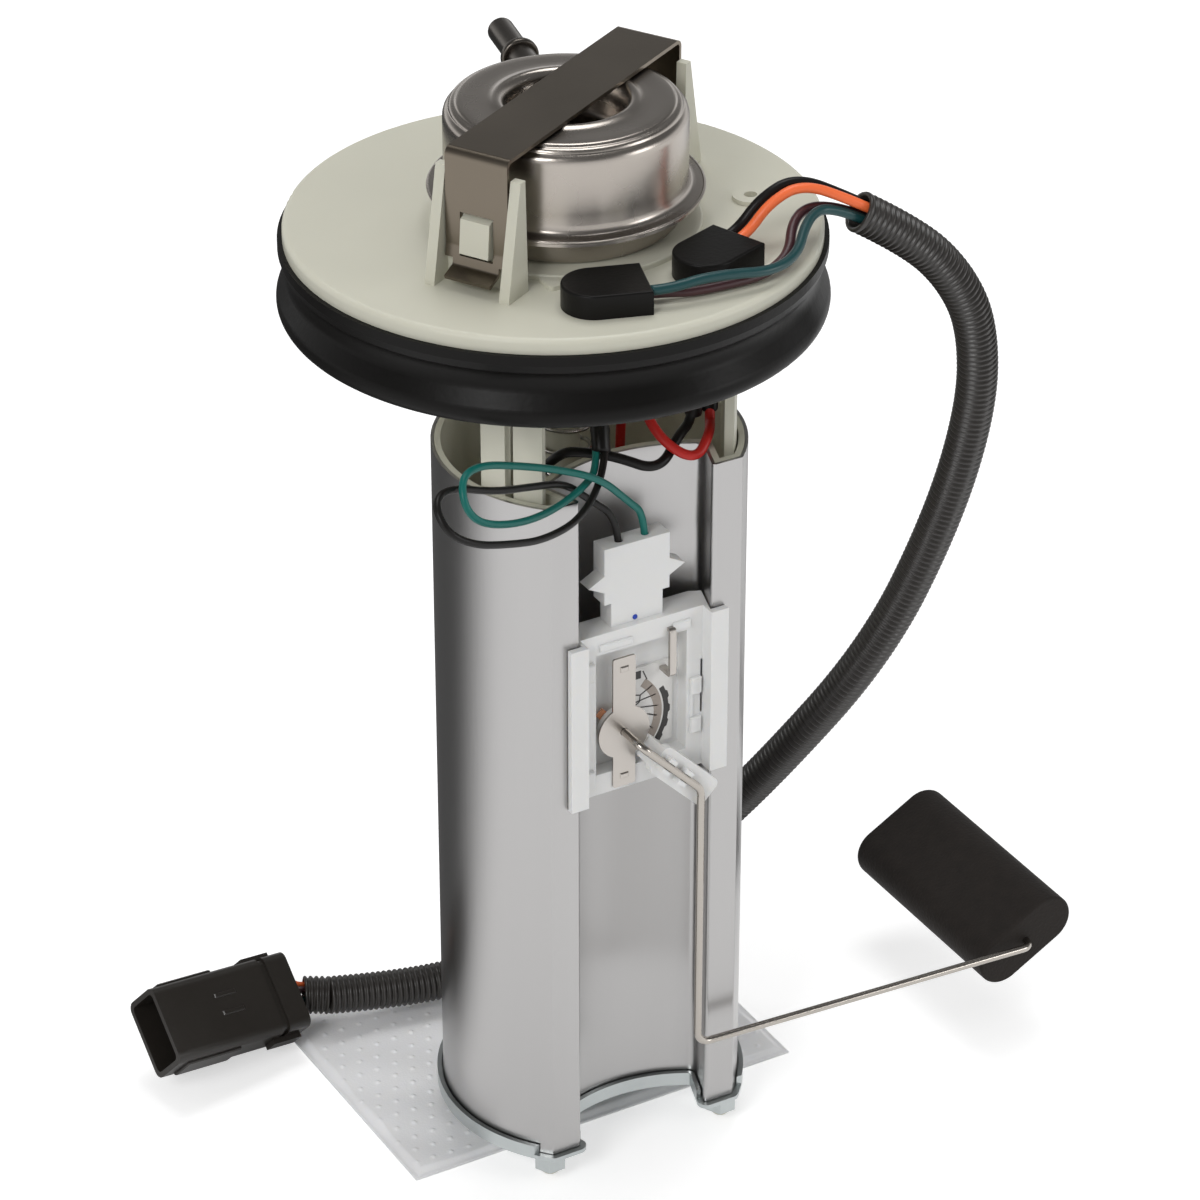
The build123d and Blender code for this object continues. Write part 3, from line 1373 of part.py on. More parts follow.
# Short lead ends between the loom and the plug
with BuildPart() as plug_lead_tails:
    for spot, cell in zip(ways, ((-2.6, 0), (0, -1.5), (0, 1.5), (2.6, 0))):
        tail_start = plug_mouth_plane.from_local_coords(Vector(spot[0], spot[1], plug_length - plug_tail_depth))
        tail_exit = plug_mouth_plane.from_local_coords(Vector(spot[0], spot[1], plug_length + 2.0))
        tail_in = loom_end_plane.from_local_coords(Vector(cell[0], cell[1], 2.0))
        tail_end = loom_end_plane.from_local_coords(Vector(cell[0], cell[1], -5.0))
        with BuildLine() as tail:
            FilletPolyline(tail_start, tail_exit, tail_in, tail_end, radius=1.8)
        with BuildSketch(Plane(origin=tail.line @ 0, z_dir=tail.line % 0)):
            Circle(tail_radius)
        sweep(path=tail.line)
plug_lead_tails.part.label = "plug_lead_tails"
export_step(plug_lead_tails.part, "parts/plug_lead_tails.step")
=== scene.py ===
"""A fuel pump module stands on its base plate: a round nylon flange with a filter can strapped on top,
a sprung aluminium reservoir with the pump and its level sender below, and a loom that ends in a plug.
Points and sizes are in millimetres in the tables below, in the frame that the CAD is packed in."""

import math

import bmesh
import bpy
import numpy as np
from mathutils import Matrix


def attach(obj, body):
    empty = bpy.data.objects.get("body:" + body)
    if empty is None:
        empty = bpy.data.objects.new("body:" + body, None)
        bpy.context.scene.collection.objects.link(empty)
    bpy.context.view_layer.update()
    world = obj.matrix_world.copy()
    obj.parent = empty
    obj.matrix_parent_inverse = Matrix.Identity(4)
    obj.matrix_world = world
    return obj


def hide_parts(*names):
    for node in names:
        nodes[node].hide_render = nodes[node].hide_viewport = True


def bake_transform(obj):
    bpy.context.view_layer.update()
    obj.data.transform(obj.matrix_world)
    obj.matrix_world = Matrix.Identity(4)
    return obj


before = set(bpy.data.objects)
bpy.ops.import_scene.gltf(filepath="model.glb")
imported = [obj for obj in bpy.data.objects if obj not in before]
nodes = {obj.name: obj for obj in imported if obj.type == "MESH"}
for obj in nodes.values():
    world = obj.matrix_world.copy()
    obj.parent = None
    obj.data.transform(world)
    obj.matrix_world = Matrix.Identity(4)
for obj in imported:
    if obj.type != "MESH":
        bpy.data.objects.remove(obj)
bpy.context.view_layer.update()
scene = bpy.context.scene
scene.view_settings.view_transform = "Standard"
mm = 0.001

# Camera: a long lens from the front left and above, as the part is laid out for a catalogue picture.
camera_data = bpy.data.cameras.new("camera")
camera_data.lens = 142.7
camera_data.sensor_width = 36.0
camera = bpy.data.objects.new("camera", camera_data)
camera.location = (-0.5240, -0.9393, 0.5255)
camera.rotation_euler = (math.radians(59.51), 0.0, math.radians(-29.78))
scene.collection.objects.link(camera)
scene.camera = camera

# Floor and studio: one pale sheet under the part, a white surround, and three soft boxes.
# The surround is white to the eye and in mirrors, up to where the studio's dark ceiling begins.
ground_z = -0.258
floor_half = 4.0
floor_tone = 0.80
floor_lift = 0.50
surround_light = 0.40
studio_dark = 0.16
dark_from = 0.06
dark_full = 0.42


def seen_directly(tree):
    """The node that tells the kinds of ray apart, and a value of 1 for rays from the eye, from mirrors
    and through glass, and 0 for the rest."""
    path = tree.nodes.new("ShaderNodeLightPath")
    either = tree.nodes.new("ShaderNodeMath")
    either.operation = "MAXIMUM"
    tree.links.new(path.outputs["Is Camera Ray"], either.inputs[0])
    tree.links.new(path.outputs["Is Glossy Ray"], either.inputs[1])
    whole = tree.nodes.new("ShaderNodeMath")
    whole.operation = "MAXIMUM"
    tree.links.new(either.outputs[0], whole.inputs[0])
    tree.links.new(path.outputs["Is Transmission Ray"], whole.inputs[1])
    return path, whole.outputs[0]


floor_mesh = bpy.data.meshes.new("floor")
floor_corners = [
    (-floor_half, -floor_half, ground_z),
    (floor_half, -floor_half, ground_z),
    (floor_half, floor_half, ground_z),
    (-floor_half, floor_half, ground_z),
]
floor_mesh.from_pydata(floor_corners, [], [(0, 1, 2, 3)])
floor = bpy.data.objects.new("floor", floor_mesh)
scene.collection.objects.link(floor)
floor_finish = bpy.data.materials.new("floor_sheet")
floor_finish.use_nodes = True
tree = floor_finish.node_tree
tree.nodes.clear()
diffuse = tree.nodes.new("ShaderNodeBsdfDiffuse")
diffuse.inputs["Color"].default_value = (floor_tone, floor_tone, floor_tone, 1)
glow = tree.nodes.new("ShaderNodeEmission")
glow.inputs["Color"].default_value = (1, 1, 1, 1)
path, direct = seen_directly(tree)
lift = tree.nodes.new("ShaderNodeMath")
lift.operation = "MULTIPLY"
lift.inputs[1].default_value = floor_lift
tree.links.new(direct, lift.inputs[0])
tree.links.new(lift.outputs[0], glow.inputs["Strength"])
both = tree.nodes.new("ShaderNodeAddShader")
tree.links.new(diffuse.outputs[0], both.inputs[0])
tree.links.new(glow.outputs[0], both.inputs[1])

# Painted reflection: a soft wedge of the compass about one direction, behind the part, is painted black
# in the floor's own material. Only mirrors see it, and it paints a dark reflection down the sleeve's left
# edge.
painted_reflection_direction = (-0.087, 0.996, 0.0)
painted_reflection_start = 0.10
painted_reflection_full = 0.80
painted_reflection_depth = 0.92
flat = tree.nodes.new("ShaderNodeVectorMath")
flat.operation = "MULTIPLY"
flat.inputs[1].default_value = (1, 1, 0)
place = tree.nodes.new("ShaderNodeTexCoord")
tree.links.new(place.outputs["Object"], flat.inputs[0])
bearing = tree.nodes.new("ShaderNodeVectorMath")
bearing.operation = "NORMALIZE"
tree.links.new(flat.outputs["Vector"], bearing.inputs[0])
turned = tree.nodes.new("ShaderNodeVectorMath")
turned.operation = "DOT_PRODUCT"
turned.inputs[1].default_value = painted_reflection_direction
tree.links.new(bearing.outputs["Vector"], turned.inputs[0])
# Painted reflection: in this wedge the floor turns black for glossy rays only, and stays white to the
# eye.
card = tree.nodes.new("ShaderNodeMapRange")
card.interpolation_type = "SMOOTHSTEP"
card.inputs["From Min"].default_value = painted_reflection_start
card.inputs["From Max"].default_value = painted_reflection_full
card.inputs["To Max"].default_value = painted_reflection_depth
tree.links.new(turned.outputs["Value"], card.inputs["Value"])
painted_reflection_mask = tree.nodes.new("ShaderNodeMath")
painted_reflection_mask.operation = "MULTIPLY"
tree.links.new(card.outputs["Result"], painted_reflection_mask.inputs[0])
tree.links.new(path.outputs["Is Glossy Ray"], painted_reflection_mask.inputs[1])
black = tree.nodes.new("ShaderNodeBsdfDiffuse")
black.inputs["Color"].default_value = (0, 0, 0, 1)
shown = tree.nodes.new("ShaderNodeMixShader")
tree.links.new(painted_reflection_mask.outputs[0], shown.inputs["Fac"])
tree.links.new(both.outputs[0], shown.inputs[1])
tree.links.new(black.outputs[0], shown.inputs[2])
out = tree.nodes.new("ShaderNodeOutputMaterial")
tree.links.new(shown.outputs[0], out.inputs["Surface"])
floor_mesh.materials.append(floor_finish)

# The white surround: rays from the eye always meet white, mirrors see it darken with height, and the
# light that it gives the part is weaker than it looks.
world = bpy.data.worlds.new("studio")
scene.world = world
world.use_nodes = True
tree = world.node_tree
tree.nodes.clear()
background = tree.nodes.new("ShaderNodeBackground")
background.inputs["Color"].default_value = (1, 1, 1, 1)
path, direct = seen_directly(tree)
place = tree.nodes.new("ShaderNodeTexCoord")
parts = tree.nodes.new("ShaderNodeSeparateXYZ")
tree.links.new(place.outputs["Generated"], parts.inputs[0])
shade = tree.nodes.new("ShaderNodeMapRange")
shade.interpolation_type = "SMOOTHSTEP"
shade.inputs["From Min"].default_value = dark_from
shade.inputs["From Max"].default_value = dark_full
shade.inputs["To Min"].default_value = 1.0
shade.inputs["To Max"].default_value = studio_dark
tree.links.new(parts.outputs["Z"], shade.inputs["Value"])
mirror_or_eye = tree.nodes.new("ShaderNodeMix")
mirror_or_eye.data_type = "FLOAT"
tree.links.new(path.outputs["Is Camera Ray"], mirror_or_eye.inputs["Factor"])
tree.links.new(shade.outputs["Result"], mirror_or_eye.inputs["A"])
mirror_or_eye.inputs["B"].default_value = 1.0
strength = tree.nodes.new("ShaderNodeMix")
strength.data_type = "FLOAT"
tree.links.new(direct, strength.inputs["Factor"])
strength.inputs["A"].default_value = surround_light
tree.links.new(mirror_or_eye.outputs["Result"], strength.inputs["B"])
tree.links.new(strength.outputs["Result"], background.inputs["Strength"])
out = tree.nodes.new("ShaderNodeOutputWorld")
tree.links.new(background.outputs[0], out.inputs["Surface"])


def soft_box(name, place, target, size, power):
    """A square area lamp at place, turned to face target; all in metres and watts."""
    lamp = bpy.data.lights.new(name, "AREA")
    lamp.size = size
    lamp.energy = power
    holder = bpy.data.objects.new(name, lamp)
    holder.location = place
    away = np.array(place, float) - np.array(target, float)
    turn = math.atan2(away[1], away[0]) + math.pi / 2
    tilt = math.atan2(math.hypot(away[0], away[1]), away[2])
    holder.rotation_euler = (tilt, 0.0, turn)
    scene.collection.objects.link(holder)
    return holder


soft_box("key_box", (-1.9, -1.2, 1.5), (0, 0, -0.1), 1.0, 26.0)
soft_box("fill_box", (1.6, -1.7, 0.6), (0, 0, -0.1), 0.8, 9.0)
soft_box("top_box", (0.4, 0.5, 2.1), (0, 0, -0.1), 1.2, 18.0)

# The loom: a split black polypropylene conduit, corrugated by the mould, over four leads. It leaves
# the flange in a high arc, comes down on the right and runs behind the part to the plug on the floor.
loom_route = [
    (62, -44.5, 9),
    (76.9, -47.8, -0.5),
    (88.9, -49.1, -13.9),
    (96.9, -48.2, -30),
    (100.8, -44.3, -55.3),
    (97.5, -36, -92),
    (86.5, -23, -137),
    (65.5, -1, -182),
    (50, 16, -211),
    (31, 30, -234),
    (8, 38, -246.5),
    (-18, 40, -249.5),
    (-47.5, 46.6, -246.2),
]
conduit_radius = 5.4
conduit_bore = 4.2
rib_pitch = 1.62
rib_depth = 0.85
rib_steps = 7
rib_fullness = 0.6
mouth_depth = 9.0
edge_round = 0.25
axis_radius = 0.4
conduit_around = 28


def read_route(name, points, step):
    """Even points along a smooth NURBS line whose control points are the route's, with their lengths.
    The line is read from the curve itself, then walked in equal steps of arc length."""
    curve = bpy.data.curves.new(name, "CURVE")
    curve.dimensions = "3D"
    curve.resolution_u = 24
    spline = curve.splines.new("NURBS")
    spline.points.add(len(points) - 1)
    for point, control in zip(points, spline.points):
        control.co = (point[0], point[1], point[2], 1.0)
    spline.order_u = 3
    spline.use_endpoint_u = True
    holder = bpy.data.objects.new(name, curve)
    line = bpy.data.meshes.new_from_object(holder)
    places = np.empty(len(line.vertices) * 3)
    line.vertices.foreach_get("co", places)
    places = places.reshape(-1, 3)
    bpy.data.objects.remove(holder)
    bpy.data.curves.remove(curve)
    bpy.data.meshes.remove(line)
    gaps = np.linalg.norm(np.diff(places, axis=0), axis=1)
    places = places[np.r_[True, gaps > 1e-7]]
    lengths = np.r_[0.0, np.cumsum(np.linalg.norm(np.diff(places, axis=0), axis=1))]
    wanted = np.linspace(0.0, lengths[-1], max(4, int(round(lengths[-1] / step)) + 1))
    return np.stack([np.interp(wanted, lengths, places[:, k]) for k in range(3)], axis=1), wanted


def carried_frames(places):
    """Two directions across a line at each of its points, carried along it without twist: each pair is
    the one before, freed of its part along the new direction."""
    ahead = np.gradient(places, axis=0)
    ahead /= np.linalg.norm(ahead, axis=1)[:, None]
    first = np.cross(ahead[0], (0.0, 0.0, 1.0))
    if np.linalg.norm(first) < 0.2:
        first = np.cross(ahead[0], (0.0, 1.0, 0.0))
    rows = []
    for direction in ahead:
        first = first - direction * np.dot(first, direction)
        first = first / np.linalg.norm(first)
        rows.append(first)
    across = np.array(rows)
    return ahead, across, np.cross(ahead, across)


def add_mesh(name, vertices, faces, body, material, smooth=True):
    """A piece from points in millimetres, in the material. It rides on body, where one is given."""
    mesh = bpy.data.meshes.new(name)
    mesh.from_pydata((np.asarray(vertices, float) * mm).tolist(), [], faces)
    mesh.polygons.foreach_set("use_smooth", [smooth] * len(mesh.polygons))
    mesh.update()
    piece = bpy.data.objects.new(name, mesh)
    scene.collection.objects.link(piece)
    mesh.materials.append(material)
    if body:
        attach(piece, body)
    return piece


def ring_faces(rows, around, closed_start=True, closed_end=True):
    """Quads between rows of ring points that close on themselves, and flat caps on the end rings."""
    faces = []
    for row in range(rows - 1):
        for k in range(around):
            right = (k + 1) % around
            low = row * around
            high = low + around
            faces.append((low + k, low + right, high + right, high + k))
    if closed_start:
        faces.append(tuple(reversed(range(around))))
    if closed_end:
        faces.append(tuple((rows - 1) * around + k for k in range(around)))
    return faces


def swept_points(places, lengths, sections, around):
    """Rings about a line: each section is a length along the line and a radius there."""
    ahead, across, above = carried_frames(places)
    turns = np.arange(around) * 2 * math.pi / around
    rows = []
    for length, radius in sections:
        centre = np.array([np.interp(length, lengths, places[:, k]) for k in range(3)])
        side = np.array([np.interp(length, lengths, across[:, k]) for k in range(3)])
        up = np.array([np.interp(length, lengths, above[:, k]) for k in range(3)])
        side /= np.linalg.norm(side)
        up /= np.linalg.norm(up)
        ring = centre + radius * (np.cos(turns)[:, None] * side + np.sin(turns)[:, None] * up)
        rows.append(ring)
    return np.concatenate(rows)


def finish(name, colour, rough, metal=0.0, mottle=0.05, mottle_scale=60.0, grain=0.0, grain_scale=900.0,
           stretch=(1, 1, 1), rough_spread=0.06, gloss=0.5, inside=0.0):
    """A plain surface: its colour drifts a little in soft clouds, its roughness drifts with them, and a
    fine grain raises or sinks it. stretch draws the grain out along an axis, as brushing does."""
    made = bpy.data.materials.new(name)
    made.use_nodes = True
    tree = made.node_tree
    shader = tree.nodes["Principled BSDF"]
    shader.inputs["Metallic"].default_value = metal
    shader.inputs["Specular IOR Level"].default_value = gloss
    shader.inputs["Subsurface Weight"].default_value = inside
    if inside:
        shader.inputs["Subsurface Radius"].default_value = (1.0, 0.9, 0.75)
        shader.inputs["Subsurface Scale"].default_value = 0.0015
    place = tree.nodes.new("ShaderNodeTexCoord")
    spread = tree.nodes.new("ShaderNodeMapping")
    spread.inputs["Scale"].default_value = stretch
    tree.links.new(place.outputs["Object"], spread.inputs["Vector"])
    clouds = tree.nodes.new("ShaderNodeTexNoise")
    clouds.inputs["Scale"].default_value = mottle_scale
    clouds.inputs["Detail"].default_value = 3.0
    tree.links.new(spread.outputs["Vector"], clouds.inputs["Vector"])
    tint = tree.nodes.new("ShaderNodeMix")
    tint.data_type = "RGBA"
    low = [max(0.0, c * (1 - mottle)) for c in colour]
    high = [min(1.0, c * (1 + mottle)) for c in colour]
    tint.inputs["A"].default_value = (*low, 1)
    tint.inputs["B"].default_value = (*high, 1)
    tree.links.new(clouds.outputs["Fac"], tint.inputs["Factor"])
    tree.links.new(tint.outputs["Result"], shader.inputs["Base Color"])
    rougher = tree.nodes.new("ShaderNodeMapRange")
    rougher.inputs["To Min"].default_value = max(0.02, rough - rough_spread)
    rougher.inputs["To Max"].default_value = min(1.0, rough + rough_spread)
    tree.links.new(clouds.outputs["Fac"], rougher.inputs["Value"])
    tree.links.new(rougher.outputs["Result"], shader.inputs["Roughness"])
    if grain:
        fine = tree.nodes.new("ShaderNodeTexNoise")
        fine.inputs["Scale"].default_value = grain_scale
        fine.inputs["Detail"].default_value = 2.0
        tree.links.new(spread.outputs["Vector"], fine.inputs["Vector"])
        bump = tree.nodes.new("ShaderNodeBump")
        bump.inputs["Strength"].default_value = grain
        bump.inputs["Distance"].default_value = 0.0002
        tree.links.new(fine.outputs["Fac"], bump.inputs["Height"])
        tree.links.new(bump.outputs["Normal"], shader.inputs["Normal"])
    return made


def dress(material, *names):
    """The CAD nodes of these names wear the material in every slot."""
    for name in names:
        for place in nodes[name].material_slots:
            place.material = material


conduit_plastic = finish("conduit_plastic", (0.029, 0.0258, 0.023), 0.34, mottle=0.12, grain=0.1,
                         gloss=0.55)
loom_line, loom_lengths = read_route("loom_line", loom_route, 0.4)
loom_length = loom_lengths[-1]


def ribs(start, end, count):
    """So many ribs of the conduit between two lengths: the radius swells and sinks as a raised cosine,
    filled out by a power below one so that the crests are broad and the grooves narrow."""
    spacing = (end - start) / count
    rings = []
    for step in range(count * rib_steps):
        swell = 0.5 + 0.5 * math.cos(2 * math.pi * step / rib_steps)
        rings.append((start + step * spacing / rib_steps,
                      conduit_radius - rib_depth * (1 - swell ** rib_fullness)))
    return rings


sections = [(mouth_depth, axis_radius), (mouth_depth, conduit_bore), (0.35, conduit_bore),
            (0.0, conduit_bore + edge_round), (0.0, conduit_radius - 0.2), (0.45, conduit_radius)]
rib_run = (1.0, loom_length - 0.4)
sections += ribs(*rib_run, int((rib_run[1] - rib_run[0]) / rib_pitch))
sections += [(loom_length, conduit_radius - edge_round), (loom_length, axis_radius)]
loom = add_mesh("loom_conduit_ribs", swept_points(loom_line, loom_lengths, sections, conduit_around),
                ring_faces(len(sections), conduit_around), None, conduit_plastic)
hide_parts("loom_conduit")
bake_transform(loom)

# The conduit's last few ribs and the tails behind the plug: the tube is pushed up close to the plug's
# rear, and only the ends of the loom's four leads show between the two.
plug_rear = np.array((-58.6, 50.9, -245.1))
plug_ahead = np.array((0.979, 0.146, -0.145))
plug_across = np.array((0.0186, -0.760, -0.650))
plug_above = np.cross(plug_across, plug_ahead)
way_pitch = 4.6
tube_pitch = 1.9
tube_stagger = 0.9
tail_radius = 1.05
tail_around = 14
end_bore_depth = 3.0
end_round = 0.35
middle_way = 1.5
tail_sunk = 1.5
tail_straight = 1.2
tail_entry = 0.8
tail_inside = 2.5
end_route = [loom_route[-1], (-50.6, 48.0, -245.8), (-53.9, 49.3, -245.5)]
end_line, end_lengths = read_route("loom_end_line", end_route, 0.3)
end_length = end_lengths[-1]
sections = [(0.0, axis_radius), (0.0, conduit_radius - edge_round)]
sections += ribs(end_round, end_length - end_round, int(end_length / rib_pitch))
sections += [(end_length - end_round, conduit_radius), (end_length, conduit_radius - edge_round),
             (end_length, conduit_bore), (end_length - end_bore_depth, conduit_bore),
             (end_length - end_bore_depth, axis_radius)]
loom_end = add_mesh("loom_conduit_end", swept_points(end_line, end_lengths, sections, conduit_around),
                    ring_faces(len(sections), conduit_around), "reservoir", conduit_plastic)
tail_colours = [
    ("orange", (0.95, 0.175, 0.05)),
    ("purple", (0.055, 0.018, 0.022)),
    ("teal", (0.010, 0.058, 0.062)),
    ("black", (0.012, 0.0105, 0.010)),
]
for way, (word, colour) in enumerate(tail_colours):
    from_rear = plug_rear + plug_across * (way - middle_way) * way_pitch
    stagger = tube_stagger if way % 2 else -tube_stagger
    to_conduit = end_line[-1] + plug_across * (way - middle_way) * tube_pitch + plug_above * stagger
    points = [tuple(from_rear - tail_sunk * plug_ahead), tuple(from_rear + tail_straight * plug_ahead),
              tuple(to_conduit - tail_entry * plug_ahead), tuple(to_conduit + tail_inside * plug_ahead)]
    line, lengths = read_route("tail_line", points, 0.5)
    sections = [(length, tail_radius) for length in lengths]
    add_mesh("plug_tail_" + word, swept_points(line, lengths, sections, tail_around),
                          ring_faces(len(sections), tail_around), "reservoir",
                          finish("tail_" + word, colour, 0.38, mottle=0.05, grain=0.08))
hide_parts("plug_lead_tails")

# Plug mouldings: two plain bars on the broad face, and a raised panel along each narrow side from the
# mouth to half its length, which keys the plug in its socket. All are part of the nylon housing.
plug_length = 44.0
plug_width = 22.6
plug_thickness = 14.9
plug_mouth = plug_rear - plug_length * plug_ahead
plug_black = finish("plug_nylon", (0.024, 0.0205, 0.0172), 0.30, mottle=0.12, grain=0.15, gloss=0.5)


def bevelled_block(low, high, chamfer):
    """A block between two corners in its own axes, its top drawn in by the chamfer all round."""
    (a, b, c), (d, e, f) = low, high
    g = chamfer
    rings = [[(a, b, c), (d, b, c), (d, e, c), (a, e, c)],
             [(a, b, f - g), (d, b, f - g), (d, e, f - g), (a, e, f - g)],
             [(a + g, b + g, f), (d - g, b + g, f), (d - g, e - g, f), (a + g, e - g, f)]]
    return [point for ring in rings for point in ring], ring_faces(3, 4)


def blocks_in_frame(blocks, centre, first, second, third, chamfer):
    """Several bevelled blocks as one mesh, laid along three directions from a centre."""
    vertices, faces = [], []
    for low, high in blocks:
        points, quads = bevelled_block(low, high, chamfer)
        start = len(vertices)
        vertices += [tuple(centre + p[0] * first + p[1] * second + p[2] * third) for p in points]
        faces += [tuple(start + k for k in quad) for quad in quads]
    return vertices, faces


plug_upward = -plug_across
broad = plug_thickness / 2
narrow = plug_width / 2
bar_height = 0.35
panel_height = 0.8
sunk = 0.1
face_bars = [
    ((17.6, 3.1, broad - sunk), (24.6, 4.5, broad + bar_height)),
    ((18.2, -2.2, broad - sunk), (25.2, -0.8, broad + bar_height)),
]
side_panel = [((-4.4, 3.5, narrow - sunk), (4.9, 21.0, narrow + panel_height))]
under_panel = [((3.5, -4.4, narrow - sunk), (21.0, 4.9, narrow + panel_height))]
for name, blocks, first, second, third, chamfer in [
        ("plug_face_bars", face_bars, plug_ahead, plug_upward, plug_above, 0.3),
        ("plug_side_panel", side_panel, plug_above, plug_ahead, plug_upward, 0.35),
        ("plug_under_panel", under_panel, plug_ahead, plug_above, -plug_upward, 0.35)]:
    vertices, faces = blocks_in_frame(blocks, plug_mouth, first, second, third, chamfer)
    add_mesh(name, vertices, faces, "reservoir", plug_black, smooth=False)
dress(plug_black, "plug_housing", "plug_latch")

# Leads: stranded copper in coloured sleeving. Four feed the loom from the flange's two lead blocks.
# Inside, two thick ones feed the pump and two thin ones loop out in the gap and drop to the sender,
# and those four cross the sprung slide, so they are tied to neither body.
lead_red = finish("lead_red", (0.54, 0.02, 0.016), 0.38, mottle=0.05, grain=0.08, gloss=0.35)
lead_black = finish("lead_black", (0.010, 0.009, 0.0085), 0.34, mottle=0.10, grain=0.08, gloss=0.2)
lead_green = finish("lead_green", (0.004, 0.140, 0.118), 0.36, mottle=0.06, grain=0.08, gloss=0.3)
lead_orange = finish("lead_orange", (0.95, 0.175, 0.05), 0.40, mottle=0.04, grain=0.08)
lead_teal = finish("lead_teal", (0.010, 0.058, 0.062), 0.34, mottle=0.06, grain=0.08, gloss=0.4)
lead_purple = finish("lead_purple", (0.055, 0.018, 0.022), 0.36, mottle=0.08, grain=0.08)
mouth = np.array(loom_route[0], float)
mouth_ahead = np.array((0.829, -0.184, -0.529))
mouth_side = np.array((0.217, 0.976, 0.0))
mouth_up = np.array((0.516, -0.115, 0.849))


def in_mouth(reach, side, up):
    """A point near the conduit's open mouth: so far into it, to its side and above its centre line."""
    return tuple(mouth + reach * mouth_ahead + side * mouth_side + up * mouth_up)


shrink_start = np.array((-4.0, -30.0, -36.0))
shrink_ahead = np.array((-0.255, -0.567, -0.783))
shrink_side = np.array((-0.912, 0.410, 0.0))
shrink_length = 11
pair_offset = 1.18
pair_before = 5
pair_after = 3
shrink_end = shrink_start + shrink_length * shrink_ahead
green_in = tuple(shrink_start + pair_offset * shrink_side - pair_before * shrink_ahead)
green_out = tuple(shrink_end + pair_offset * shrink_side + pair_after * shrink_ahead)
black_in = tuple(shrink_start - pair_offset * shrink_side - pair_before * shrink_ahead)
black_out = tuple(shrink_end - pair_offset * shrink_side + pair_after * shrink_ahead)
pump_lead = 1.3
sender_lead = 0.95
lead_table = [
    ("pump_lead_red", lead_red, pump_lead, True, [
        (17.58, -43.49, -9), (17.58, -43.49, -16), (28.2, -30.2, -24), (28.2, -30.2, -46.5),
        (24.2, -37.5, -46.4), (17.5, -41.5, -51.5), (9.5, -35.5, -45), (10, -24, -36), (16, -10, -38),
        (18, -2.4, -56), (18, -2, -110), (12, -3.5, -146), (12, -3.5, -170)]),
    ("pump_lead_black", lead_black, pump_lead, True, [
        (19.5, -48.76, -9), (19.5, -48.76, -17), (23.2, -30.6, -26), (23.2, -30.6, -45.5),
        (17, -33.8, -47.2), (8.5, -38.8, -53), (-1.5, -34, -48.2), (-8.5, -31, -46.5),
        (-14.5, -28.5, -46), (-18, -22, -56), (-18.5, -6, -74), (-18, -2, -94), (-18, -2.2, -120),
        (-12, -3.5, -148), (-12, -3.5, -170)]),
    ("sender_lead_green", lead_green, sender_lead, True, [
        (-12.42, -46.06, -9), (-12.42, -46.06, -18), green_in, green_out, (-14.5, -43, -48),
        (-27, -50, -48), (-39.3, -57, -45), (-50, -61, -41.2), (-56.5, -62, -37.5),
        (-59, -60.8, -32.5), (-57, -56.5, -27.8), (-50, -53.5, -28), (-38.1, -50, -33.2),
        (-25.2, -47, -39.2), (-12.8, -46.2, -45.6), (-3.2, -43, -56), (3.4, -40.6, -63),
        (3.4, -40.6, -74.4)]),
    ("sender_lead_black", lead_black, sender_lead, True, [
        (-14.15, -51.39, -9), (-14.15, -51.39, -12), (-6.5, -44.5, -18.5), black_in, black_out,
        (-20, -51, -52), (-36, -59.5, -50), (-50.3, -65, -44.5), (-60, -67.5, -40.5),
        (-66.8, -66.8, -35.6), (-67.2, -61, -30), (-60.5, -56.5, -29.8), (-46.4, -52.5, -37),
        (-33.1, -48, -41.4), (-21.5, -43.6, -45.6), (-13.5, -41.5, -53.5), (-4.2, -40.6, -62),
        (-4.2, -40.6, -74.4)]),
    ("loom_lead_orange", lead_orange, pump_lead, False, [
        (28, -41.1, 7.4), (32.7, -39.4, 7.4), (38.5, -40.2, 15), (48, -40.3, 18.2),
        in_mouth(-4, -1.4, 2.2), in_mouth(7, -1.4, 2.2)]),
    ("loom_lead_black", lead_black, pump_lead, False, [
        (26.86, -37.99, 7.4), (31.6, -36.3, 7.4), (37.8, -37, 15.2), (48, -37.2, 18.8),
        in_mouth(-4, 1.4, 2), in_mouth(7, 1.4, 2)]),
    ("loom_lead_teal", lead_teal, pump_lead, False, [
        (-4.59, -56.28, 8.8), (0.2, -57.8, 8.8), (10.5, -59, 10.2), (33, -61, 7.2),
        (47.5, -44.5, 12.8), in_mouth(-5, -1.4, -0.9), in_mouth(7, -1.4, -0.9)]),
    ("loom_lead_purple", lead_purple, pump_lead, False, [
        (-3.51, -52.95, 6.2), (1.24, -54.5, 6.2), (8, -57, 5.6), (33.5, -57.6, 5.6),
        (44.6, -41.6, 12.4), in_mouth(-5, 1.4, -0.9), in_mouth(7, 1.4, -0.9)]),
]
lead_around = 16
for name, material, radius, crosses, points in lead_table:
    line, lengths = read_route(name + "_line", points, 0.8)
    sections = [(length, radius) for length in lengths]
    piece = add_mesh(name + "_run", swept_points(line, lengths, sections, lead_around),
                     ring_faces(len(sections), lead_around), None if crosses else "head",
                     material)
    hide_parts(name)
    if crosses:
        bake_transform(piece)
